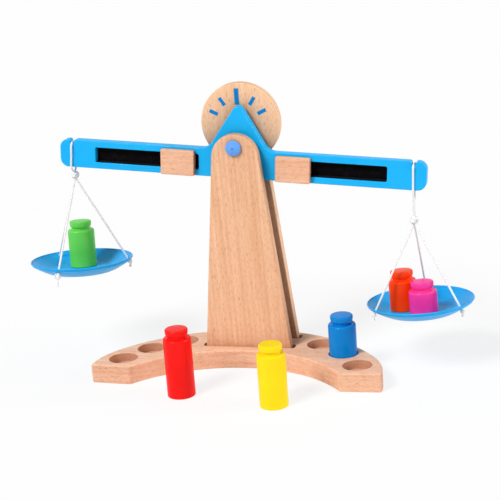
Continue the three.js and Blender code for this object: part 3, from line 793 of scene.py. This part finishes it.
def make_screws(materials):
    """Countersunk screws with a cross recess and a cut thread."""
    under_head = SCREW_RECESS + SCREW_HEAD_HEIGHT
    profile = [(0, SCREW_RECESS), (SCREW_HEAD - SCREW_BEVEL, SCREW_RECESS),
               (SCREW_HEAD, SCREW_RECESS + SCREW_BEVEL_HEIGHT), (SCREW_SHANK, under_head)]
    for k in range(int((SCREW_LENGTH - SCREW_HEAD_HEIGHT - SCREW_TIP) / THREAD_PITCH)):
        z = under_head + SCREW_NECK + k * THREAD_PITCH
        profile.extend([(SCREW_SHANK - THREAD_DEPTH, z), (SCREW_SHANK, z + THREAD_PITCH / 2)])
    profile.append((0, SCREW_RECESS + SCREW_LENGTH))
    cross = rectangle(0, 0, CROSS_HALF_LENGTH, CROSS_HALF_WIDTH, CROSS_CORNER, 3)
    for index, (x, y) in enumerate(screw_places()):
        screw = turned(f"wood_screw_{index + 1}", profile, 32, at(x, y, 0))
        slots = []
        for angle in (0, QUARTER):
            place = at(x, y, SCREW_RECESS - OVERRUN) @ spin(angle + CROSS_TURN * index, "Z")
            slots.append(plate("slot", cross, OVERRUN + CROSS_DEPTH, place=place))
        finished(boolean(screw, slots), "stand", [f"base_screw_{index + 1}"],
                 materials["steel"])


# Boards


def half_width(z):
    return FOOT_HALF_WIDTH - (z - BASE_THICKNESS) * tan(TAPER)


def foot_points():
    tenon = BASE_THICKNESS - MORTISE_DEPTH + SEAT_GAP
    left = [(-FOOT_HALF_WIDTH, BASE_THICKNESS), (-FOOT_HALF_WIDTH, tenon)]
    return left + mirrored(left)


def front_outline():
    arc_z = PIVOT_Z - FRONT_ARC_DROP
    return foot_points() + arc(0, arc_z, half_width(arc_z) * cos(TAPER), TAPER, pi - TAPER, 48)


def rear_outline():
    dial_z = PIVOT_Z + DIAL_RISE
    away = half_width(dial_z) * cos(TAPER)
    along = sqrt(DIAL_RADIUS ** 2 - away ** 2)
    neck_x = away * cos(TAPER) + along * sin(TAPER)
    neck_z = away * sin(TAPER) - along * cos(TAPER)
    neck = atan2(neck_z, neck_x)
    return foot_points() + arc(0, dial_z, DIAL_RADIUS, neck, pi - neck, 110)


def on_pivot(y, way):
    """Lays what is turned about Z on the pivot's line: from y to the back, or the front if way is -1."""
    return at(0, y, PIVOT_Z) @ spin(-way * QUARTER, "X")


def shaft_bore(front, back):
    """A cutter for the hole that the peg's shaft goes through."""
    radius = SHAFT_RADIUS + SEAT_GAP
    length = back - front
    return turned("bore", [(0, 0), (radius, 0), (radius, length), (0, length)], 48, on_pivot(front, 1))


def make_boards(materials):
    for name, outline, back, node, material in (
        ("front_upright", front_outline(), -BOARD_BACK, "front_board", materials["board"]),
        ("rear_upright", rear_outline(), BOARD_FRONT, "rear_board", materials["dial"]),
    ):
        board = plate(name, outline, BOARD_THICKNESS, BOARD_ROUNDING, 4, standing(back))
        front = back - BOARD_THICKNESS
        tools = [shaft_bore(front - OVERRUN, back + OVERRUN)]
        tools.extend(screw_hole(x, y) for x, y in screw_places() if front < y < back)
        finished(boolean(board, tools), "stand", [node], material)


def make_marks(materials):
    middle = Vector((0, BOARD_BACK + MARK_SUNK, PIVOT_Z + DIAL_RISE)) + MARK_SHIFT
    for index, angle in enumerate(MARK_ANGLES):
        inner, outer, width = LONG_MARK if angle == 0 else SHORT_MARK
        outline = rectangle(0, (inner + outer) / 2, width / 2, (outer - inner) / 2, MARK_CORNER, 4)
        place = at(*middle) @ spin(angle, "Y") @ spin(QUARTER, "X")
        mark = plate(f"printed_mark_{index + 1}", outline, MARK_PROUD + MARK_SUNK, MARK_ROUNDING, 2, place)
        finished(mark, "stand", [f"dial_mark_{index + 1}"], materials["mark"])


# Pivot


def button_profile():
    """The half outline of a button head: a short side, a rounded edge and a low crown."""
    side = PEG_HEAD_HEIGHT * PEG_SIDE_SHARE
    points = [(PEG_HEAD_RADIUS - PEG_BEVEL, 0), (PEG_HEAD_RADIUS, PEG_BEVEL)]
    for i in range(9):
        a = PEG_EDGE_TURN * i / 8
        points.append((PEG_HEAD_RADIUS - PEG_EDGE * (1 - cos(a)), side + PEG_EDGE_HEIGHT * sin(a)))
    edge_top = points[-1][1]
    rise = PEG_HEAD_HEIGHT - side - PEG_EDGE_HEIGHT + PEG_CROWN_SPARE
    for i in range(7, -1, -1):
        share = i / 8
        points.append(((PEG_HEAD_RADIUS - PEG_EDGE) * share, edge_top + rise * (1 - share ** 2)))
    return points


def make_peg(materials):
    head = button_profile()
    bottom = -(2 * BOARD_FRONT + 2 * SEAT_GAP + CAP_BORE_DEPTH)
    shaft = [(0, bottom), (SHAFT_RADIUS - SHAFT_BEVEL, bottom), (SHAFT_RADIUS, bottom + SHAFT_BEVEL),
             (SHAFT_RADIUS, 0)]
    dimple = [(radius, head[-1][1] - depth) for radius, depth in PEG_DIMPLE]
    seat = BOARD_FRONT + SEAT_GAP / 2
    peg = turned("round_peg", shaft + head[:-2] + dimple, 72, on_pivot(-seat, -1))
    finished(peg, "stand", ["pivot_peg"], materials["peg"])
    cap = turned("peg_cap", [(0, 0), *head], 72, on_pivot(seat, 1))
    bore = shaft_bore(BOARD_FRONT - OVERRUN, BOARD_FRONT + CAP_BORE_DEPTH + 2 * SEAT_GAP)
    finished(boolean(cap, [bore]), "stand", ["rear_cap"], materials["peg"])


def make_spacers(materials):
    start, length = BEAM_FACE + SEAT_GAP, BOARD_BACK - BEAM_FACE - 2 * SEAT_GAP
    inner, outer = SHAFT_RADIUS + SEAT_GAP, SPACER_RADIUS
    low = [(inner, SPACER_BEVEL), (inner + SPACER_BEVEL, 0), (outer - SPACER_BEVEL, 0), (outer, SPACER_BEVEL)]
    profile = [*low, *[(radius, length - z) for radius, z in reversed(low)], low[0]]
    for name, way in (("front_spacer", -1), ("rear_spacer", 1)):
        ring = welded(turned(f"wood_ring_{name}", profile, 64, on_pivot(way * start, way)))
        finished(ring, "stand", [name], materials["spacer"])


# Beam


def beam_frame():
    return at(0, 0, PIVOT_Z) @ spin(BEAM_TILT, "Y")


def beam_outline():
    """The arms with a notch in each, and the pointer between them."""
    apex = POINTER_TOP + POINTER_TIP * (1 / sin(POINTER_HALF_ANGLE) - 1)
    foot = (apex - ARM_TOP) * tan(POINTER_HALF_ANGLE)
    notch = [(NOTCH_HALF + NOTCH_FLARE, ARM_TOP, NOTCH_MOUTH),
             (NOTCH_HALF, ARM_TOP - NOTCH_DEPTH, NOTCH_HALF / 2)]
    right = [
        (BEAM_HALF_LENGTH, ARM_TOP - ARM_HEIGHT, ARM_CORNER),
        (BEAM_HALF_LENGTH, ARM_TOP, ARM_CORNER),
        *[(NOTCH_X + x, y, radius) for x, y, radius in notch + mirrored(notch)],
        (foot, ARM_TOP, POINTER_FILLET),
    ]
    return rounded([*right, (0, apex, POINTER_TIP), *mirrored(right)], 14)


def groove_cutter(direction):
    """The groove, with a rounded rim where it meets the beam's face."""
    middle = direction * (GROOVE_INNER + GROOVE_OUTER) / 2
    half = (GROOVE_OUTER - GROOVE_INNER) / 2
    outline = rectangle(middle, ARM_MIDDLE, half, GROOVE_HEIGHT / 2, GROOVE_CORNER)
    rim = bend(-GROOVE_RIM, GROOVE_DEPTH - GROOVE_RIM, GROOVE_RIM, 0, 90, 4)
    levels = [(0, 0), *rim, (-GROOVE_RIM, GROOVE_DEPTH + OVERRUN)]
    return stacked("groove", outline, levels, beam_frame() @ standing(-BEAM_FACE + GROOVE_DEPTH))


def make_beam(materials):
    place = beam_frame() @ standing(BEAM_FACE)
    beam = plate("painted_beam", beam_outline(), 2 * BEAM_FACE, BEAM_ROUNDING, 4, place)
    tools = [shaft_bore(-BEAM_FACE - OVERRUN, BEAM_FACE + OVERRUN), groove_cutter(-1), groove_cutter(1)]
    finished(boolean(beam, tools), "beam", ["beam"], materials["beam"])


def lining_rim(floor, half):
    """The felt's section, a channel on the groove's floor and long walls, in short steps."""
    front = -BEAM_FACE + FELT_SET_BACK
    inner, back = half - FELT_THICKNESS, floor - FELT_THICKNESS
    section = [(front, -half), (front, -inner), (back, -inner), (back, inner), (front, inner), (front, half),
               (floor, half), (floor, -half)]
    rim = []
    for (y0, z0), (y1, z1) in zip(section, section[1:] + section[:1]):
        parts = max(1, round(hypot(y1 - y0, z1 - z0) / FELT_STEP))
        rim.extend((y0 + (y1 - y0) * k / parts, z0 + (z1 - z0) * k / parts) for k in range(parts))
    return rim


def make_linings(materials):
    """Felt in each groove, fuzzy wherever it doesn't touch the wood."""
    floor = -BEAM_FACE + GROOVE_DEPTH - SEAT_GAP / 2
    half = GROOVE_HEIGHT / 2 - SEAT_GAP / 2
    start = GROOVE_INNER + GROOVE_CORNER / 3
    length = GROOVE_OUTER - GROOVE_INNER - 2 * GROOVE_CORNER / 3
    rows = round(length / FELT_STEP)
    rim = lining_rim(floor, half)
    for name, direction in (("left", -1), ("right", 1)):
        rings = []
        for i in range(rows + 1):
            x = direction * (start + length * i / rows)
            ring = []
            for y, z in rim:
                fuzz = FUZZ_HEIGHT * noise.noise(Vector((x, FUZZ_FLATTENING * y, z)) * FUZZ_SCALE)
                if y > floor - FELT_TOUCH or abs(z) > half - FELT_TOUCH:
                    fuzz = 0
                ring.append((x, y + fuzz, ARM_MIDDLE + z - fuzz / 2))
            rings.append(ring)
        lining = welded(mesh_object(f"{name}_felt_lining", *skin(rings), beam_frame()))
        finished(lining, "beam", [f"{name}_groove_felt"], materials["felt"])


def make_slider(side, materials):
    """A block on the beam's face, with a tongue that reaches into the groove."""
    x = SLIDER_X[side]
    middle = ARM_MIDDLE + (SLIDER_RISE - SLIDER_FALL) / 2
    half = (SLIDER_RISE + SLIDER_FALL) / 2
    outline = rectangle(x, middle, SLIDER_LENGTH / 2, half, SLIDER_CORNER)
    back = -BEAM_FACE - SEAT_GAP / 2
    block = plate(f"{side}_beech_slider", outline, SLIDER_PROUD + SEAT_GAP / 2, SLIDER_ROUNDING, 4,
                  beam_frame() @ standing(back))
    half = GROOVE_HEIGHT / 2 - FELT_THICKNESS - 2 * SEAT_GAP
    outline = rectangle(x, ARM_MIDDLE, TONGUE_LENGTH / 2, half, TONGUE_CORNER, 4)
    tongue_back = -BEAM_FACE + GROOVE_DEPTH - FELT_THICKNESS - 2 * SEAT_GAP
    tongue = plate("tongue", outline, tongue_back - back + SLIDER_PROUD / 2, TONGUE_ROUNDING, 2,
                   beam_frame() @ standing(tongue_back))
    finished(boolean(block, [tongue], "UNION"), f"{side}_slider", [f"{side}_slider"],
             materials["slider"])


# Cords


def blend(first, last, time, start, end):
    return first.lerp(last, (time - start) / (end - start))


def smooth_path(points):
    """A smooth line through the points, in even steps."""
    knots = [Vector(p) for p in points]
    ends = [2 * knots[0] - knots[1], *knots, 2 * knots[-1] - knots[-2]]
    dense = []
    for p0, p1, p2, p3 in zip(ends, ends[1:], ends[2:], ends[3:]):
        t1 = (p1 - p0).length ** 0.5
        t2 = t1 + (p2 - p1).length ** 0.5
        t3 = t2 + (p3 - p2).length ** 0.5
        for k in range(24):
            t = t1 + (t2 - t1) * k / 24
            a1, a2, a3 = blend(p0, p1, t, 0, t1), blend(p1, p2, t, t1, t2), blend(p2, p3, t, t2, t3)
            dense.append(blend(blend(a1, a2, t, 0, t2), blend(a2, a3, t, t1, t3), t, t1, t2))
    dense.append(knots[-1])
    lengths = np.cumsum([0] + [(b - a).length for a, b in zip(dense, dense[1:])])
    count = max(2, round(lengths[-1] / CORD_STEP))
    wanted = np.linspace(0, lengths[-1], count + 1)
    columns = [np.interp(wanted, lengths, [p[axis] for p in dense]) for axis in range(3)]
    return [Vector(p) for p in zip(*columns)]


def twisted_cord(path, closed=False, swell=None):
    """Points and faces of a twisted cord, with a groove between its plies."""
    count = len(path)
    rings = []
    across = None
    run = 0
    for i, centre in enumerate(path):
        before = path[i - 1] if i or closed else centre
        after = path[(i + 1) % count] if i < count - 1 or closed else centre
        along = (after - before).normalized()
        if across is None:
            across = along.orthogonal()
        across = (across - along * across.dot(along)).normalized()
        other = along.cross(across)
        if i:
            run += (centre - path[i - 1]).length
        turn = 2 * pi * run / CORD_PITCH
        size = CORD_RADIUS * (swell(i / (count - 1)) if swell else 1)
        ring = []
        for k in range(CORD_SIDES):
            a = 2 * pi * k / CORD_SIDES
            lobe = abs(cos(CORD_PLIES * (a - turn) / 2))
            reach = size * (CORD_CORE_SHARE + (1 - CORD_CORE_SHARE) * lobe ** CORD_PLY_POWER)
            ring.append(centre + across * (reach * cos(a)) + other * (reach * sin(a)))
        rings.append(ring)
    return skin(rings, closed)


def knot_path(radius):
    """The line of a tightened overhand knot, as far out as the radius."""
    major, minor = radius * KNOT_MAJOR_SHARE, radius * KNOT_MINOR_SHARE
    steps = 90
    line = []
    for i in range(steps):
        t = 2 * pi * i / steps
        reach = major + minor * cos(3 * t)
        line.append(Vector((reach * cos(2 * t), minor * sin(3 * t), reach * sin(2 * t))))
    return line


def knot_passes(centre, radius, passes, turn=0.0):
    """Passes of cord round a knot whose outside has that radius."""
    points, faces = twisted_cord(knot_path(radius - CORD_RADIUS), closed=True)
    parts = []
    for more_turn, tip in passes:
        place = at(*centre) @ spin(turn + more_turn, "Z") @ spin(tip, "X")
        parts.append(([place @ p for p in points], faces))
    return parts


def joined(parts):
    """Several sets of points and faces as one."""
    points, faces = [], []
    for more_points, more_faces in parts:
        start = len(points)
        points.extend(more_points)
        faces.extend([[start + i for i in face] for face in more_faces])
    return points, faces


def loop_frame(hanger):
    seat = beam_frame() @ Vector((hanger["direction"] * NOTCH_X, 0, ARM_TOP - NOTCH_DEPTH))
    return at(*seat) @ spin(hanger["lean"], "Y")


def knot_frame(hanger):
    return at(*(loop_frame(hanger) @ Vector((0, 0, -hanger["knot_drop"]))))


def pan_frame(hanger):
    return knot_frame(hanger) @ spin(hanger["sway"], "X") @ spin(hanger["swing"], "Y")


def make_cord(name, shape, place, body, node, materials):
    """A piece of white cord from its points and faces."""
    finished(mesh_object(name, *shape, place), body, [node], materials["cord"], 80)


def make_loop(side, hanger, materials):
    """The cord over the notch, with both its ends in the knot."""
    crown = CORD_RADIUS + CORD_GAP
    run = BEAM_FACE + crown
    shift = hanger["run_aside"]
    half = [(0, -CORD_RADIUS * LOOP_END_SHARE, -hanger["knot_drop"] + KNOT_RADIUS * LOOP_TUCK_SHARE),
            (shift, -run, -LOOP_STRAIGHT), (shift / 2, -run, -LOOP_STRAIGHT / 2), (0, -run, -crown),
            (0, -BEAM_FACE * LOOP_BEND_SHARE, crown * LOOP_BEND_SHARE), (0, 0, crown)]
    route = half + [(x, -y, z) for x, y, z in half[-2::-1]]
    make_cord(f"{side}_cord_loop", twisted_cord(smooth_path(route)), loop_frame(hanger),
              f"{side}_loop", f"{side}_loop", materials)


def make_knot(side, hanger, materials):
    """Passes of cord round the turns that they hide."""
    passes = knot_passes((0, 0, 0), KNOT_RADIUS * KNOT_SWELL, KNOT_PASSES)
    core = revolved(bend(0, 0, KNOT_RADIUS * KNOT_CORE_SHARE, -90, 90, 12), 20)
    make_cord(f"{side}_tied_knot", joined([*passes, core]), knot_frame(hanger),
              f"{side}_knot", f"{side}_knot", materials)


def pan_drop(radius):
    """How far the pan's inner face lies below its rim."""
    share = max(0, (radius - PAN_FLOOR) / (PAN_RADIUS - PAN_FLOOR))
    return (PAN_DEPTH - PAN_WALL) * (1 - share ** PAN_POWER)


def hole_place(hanger, index):
    bearing = hanger["bearing"] + index * 2 * pi / CORDS_PER_PAN
    return aside(CORD_HOLE_RADIUS, bearing, -hanger["hang"] - pan_drop(CORD_HOLE_RADIUS))


def pan_profile():
    """The pan's half section: a flat floor, a rising wall and a bead round the rim."""
    steps = 20
    inner, outer = [], []
    for i in range(steps):
        share = i / steps
        radius = PAN_FLOOR + (PAN_RADIUS - 2 * PAN_BEAD - PAN_FLOOR) * share
        drop = pan_drop(radius)
        inner.append((radius, -drop))
        thickness = PAN_WALL * (1 - PAN_THINNING_SHARE * share)
        outer.append((radius + (2 * PAN_BEAD - PAN_STEP) * share, -drop - thickness))
    rim = bend(PAN_RADIUS - PAN_BEAD, -PAN_BEAD, PAN_BEAD, -70, 180, 12)
    floor = -PAN_DEPTH + PAN_WALL
    ring = PAN_FLOOR - PAN_RING
    return [(0, -PAN_DEPTH), (PAN_FLOOR - PAN_FLOOR_BAND, -PAN_DEPTH), *outer, *rim, *inner[::-1],
            (ring, floor - PAN_RING / 3), (ring - PAN_RING, floor - PAN_RING / 2),
            (ring - 2 * PAN_RING, floor), (ring - PAN_RING_BAND, floor), (0, floor)]


def make_pan(side, hanger, materials):
    """A dish with a hole along each cord."""
    pan = turned(f"{side}_dish", pan_profile(), 144, pan_frame(hanger) @ at(0, 0, -hanger["hang"]))
    tools = []
    for index in range(CORDS_PER_PAN):
        hole = hole_place(hanger, index)
        turn = Vector((0, 0, 1)).rotation_difference(-hole).to_matrix().to_4x4()
        profile = [(0, -OVERRUN), (CORD_HOLE, -OVERRUN), (CORD_HOLE, OVERRUN), (0, OVERRUN)]
        tools.append(turned("hole", profile, 28, pan_frame(hanger) @ at(*hole) @ turn))
    finished(boolean(pan, tools), f"{side}_pan", [f"{side}_pan"], materials["pan"])


def frayed(share):
    """The swelling of a cord's cut end."""
    return 1 + FRAY_SHARE * max(0, (share - FRAY_START_SHARE) / (1 - FRAY_START_SHARE))


def make_pan_cord(side, hanger, index, materials):
    """A cord from the knot through its hole, with a stopper knot and a tail under the rim."""
    hole = hole_place(hanger, index)
    bearing = Vector((hole.x, hole.y, 0)).normalized()
    inside = bearing * (CORD_RADIUS / 2) + Vector((0, 0, -KNOT_RADIUS / 2))
    start = bearing * CORD_RADIUS * CORD_START_SHARE + Vector((0, 0, -KNOT_RADIUS - CORD_RADIUS / 2))
    radius = hanger["stoppers"][index]
    stopper = hole + (hole - start).normalized() * (PAN_WALL + radius * STOPPER_DROP_SHARE)
    cord = twisted_cord(smooth_path([inside, start, start.lerp(hole, 0.5), hole, stopper]))
    tail_end = stopper + Vector((TAIL_ASIDE * sin(index * TAIL_TURN), -TAIL_FORWARD,
                                 -radius - hanger["tails"][index]))
    middle = stopper.lerp(tail_end, 0.5) + bearing * TAIL_BOW
    tail = twisted_cord(smooth_path([stopper, middle, tail_end]), swell=frayed)
    knots = knot_passes(stopper, radius, STOPPER_PASSES, index * STOPPER_TURN)
    make_cord(f"{side}_string_{index + 1}", joined([cord, tail, *knots]), pan_frame(hanger),
              f"{side}_pan", f"{side}_cord_{index + 1}", materials)


# Weights


def weight_profile(height):
    """The half section of a weight: a dowel with a neck and a round cap."""
    cap_z = height - CAP_HEIGHT
    shoulder_z = cap_z - NECK_HEIGHT
    foot = bend(WEIGHT_RADIUS - FOOT_ROUNDING, FOOT_ROUNDING, FOOT_ROUNDING, -90, 0, 5)
    shoulder = bend(WEIGHT_RADIUS - SHOULDER_ROUNDING, shoulder_z - SHOULDER_ROUNDING, SHOULDER_ROUNDING,
                    0, 84, 9)
    neck = bend(NECK_RADIUS + NECK_FILLET, shoulder_z + NECK_FILLET, NECK_FILLET, 255, 180, 4)
    wide_z = height - CAP_CROWN - CAP_ROUNDING
    low = [(NECK_RADIUS + (CAP_RADIUS - NECK_RADIUS) * cos(a) ** CAP_FULLNESS,
            wide_z - (wide_z - cap_z) * sin(a)) for a in map(radians, range(90, 0, -9))]
    flat = CAP_RADIUS - CAP_ROUNDING
    high = bend(flat, wide_z, CAP_ROUNDING, 0, 84, 9)
    crown = [(flat * share, height - CAP_CROWN * share ** 2) for share in CAP_CROWN_SHARES]
    return [(0, 0), (WEIGHT_RADIUS * FOOT_DISC_SHARE, 0), *foot, *shoulder, *neck, *low, *high, *crown,
            (0, height)]


def weight_frames():
    """The frame of each weight's foot."""
    floor = -PAN_DEPTH + PAN_WALL + FOOT_GAP
    left, right = [pan_frame(hanger) @ at(0, 0, floor - hanger["hang"]) for hanger in HANGERS.values()]
    orange = aside(ORANGE_REACH, ORANGE_AZIMUTH)
    return {
        "red": at(*RED_PLACE),
        "yellow": at(*YELLOW_PLACE),
        "blue": at(*socket_places()[BLUE_SOCKET], BASE_THICKNESS - SOCKET_DEPTH + FOOT_GAP),
        "green": left @ at(*aside(GREEN_REACH, GREEN_AZIMUTH)),
        "orange": right @ at(*orange),
        "pink": right @ at(*(orange + aside(PAIR_SPACING, PAIR_AZIMUTH))),
    }


def make_weights(materials):
    for name, place in weight_frames().items():
        weight = turned(f"{name}_dowel", weight_profile(WEIGHT_HEIGHTS[name]), WEIGHT_SEGMENTS, place)
        node = f"{name}_weight"
        finished(weight, node, [node], materials[name], 50)


# Camera, light and floor


def make_camera():
    data = bpy.data.cameras.new("camera")
    data.sensor_fit = "HORIZONTAL"
    data.sensor_width = SENSOR_WIDTH
    data.lens = FOCAL_PIXELS / IMAGE_PIXELS * SENSOR_WIDTH
    data.clip_start = CAMERA_NEAR * MM
    data.clip_end = CAMERA_FAR * MM
    camera = put_in("camera", data)
    turn = spin(CAMERA_AZIMUTH, "Z") @ spin(QUARTER - CAMERA_ELEVATION, "X") @ spin(-CAMERA_ROLL, "Z")
    camera.matrix_world = at(*CAMERA_AIM * MM) @ turn @ at(0, 0, CAMERA_DISTANCE * MM)
    bpy.context.scene.camera = camera


def make_world():
    """White wherever it is seen or mirrored, and dimmer where it only lights."""
    world = bpy.data.worlds.new("studio")
    bpy.context.scene.world = world
    w = Nodes(world)
    values = {"Value": w.seen_or_mirrored(), "To Min": AMBIENT, "To Max": 1}
    background = w.nodes["Background"].inputs
    w.feed(background["Color"], (1, 1, 1, 1))
    w.feed(background["Strength"], w.add("ShaderNodeMapRange", values).outputs["Result"])


def make_floor():
    """A white floor that keeps a pale shadow of the object."""
    half = FLOOR_SIZE / 2
    corners = [(-half, -half, 0), (half, -half, 0), (half, half, 0), (-half, half, 0)]
    floor = mesh_object("floor", corners, [[0, 1, 2, 3]], at(0, 0, -FLOOR_DROP))
    s = Shader("floor_white")
    share = s.combined("MULTIPLY", s.seen_or_mirrored(), FLOOR_GLOW_SHARE)
    glow = s.add("ShaderNodeEmission", {}).outputs["Emission"]
    inputs = {"Fac": share, 1: s.principled.outputs["BSDF"], 2: glow}
    mix = s.add("ShaderNodeMixShader", inputs).outputs["Shader"]
    s.feed(s.nodes["Material Output"].inputs["Surface"], mix)
    floor.data.materials.append(s.finish(Base_Color=FLOOR_WHITE, Roughness=0.9, Specular_IOR_Level=0))


def make_lights():
    """A soft key from the front left and a weaker light from the right."""
    for name, (strength, spread, place) in LAMPS.items():
        light = bpy.data.lights.new(name, "SUN")
        light.energy = strength
        light.angle = spread
        lamp = put_in(name, light)
        lamp.location = place * MM
        lamp.rotation_euler = (-place).to_track_quat("-Z", "Y").to_euler()


def main():
    make_camera()
    make_world()
    make_floor()
    make_lights()
    materials = make_materials()
    for make in (make_base, make_screws, make_boards, make_marks, make_peg, make_spacers, make_beam,
                 make_linings):
        make(materials)
    for side, hanger in HANGERS.items():
        make_slider(side, materials)
        make_loop(side, hanger, materials)
        make_knot(side, hanger, materials)
        make_pan(side, hanger, materials)
        for index in range(CORDS_PER_PAN):
            make_pan_cord(side, hanger, index, materials)
    make_weights(materials)
    bpy.context.scene.view_settings.view_transform = "Standard"


main()
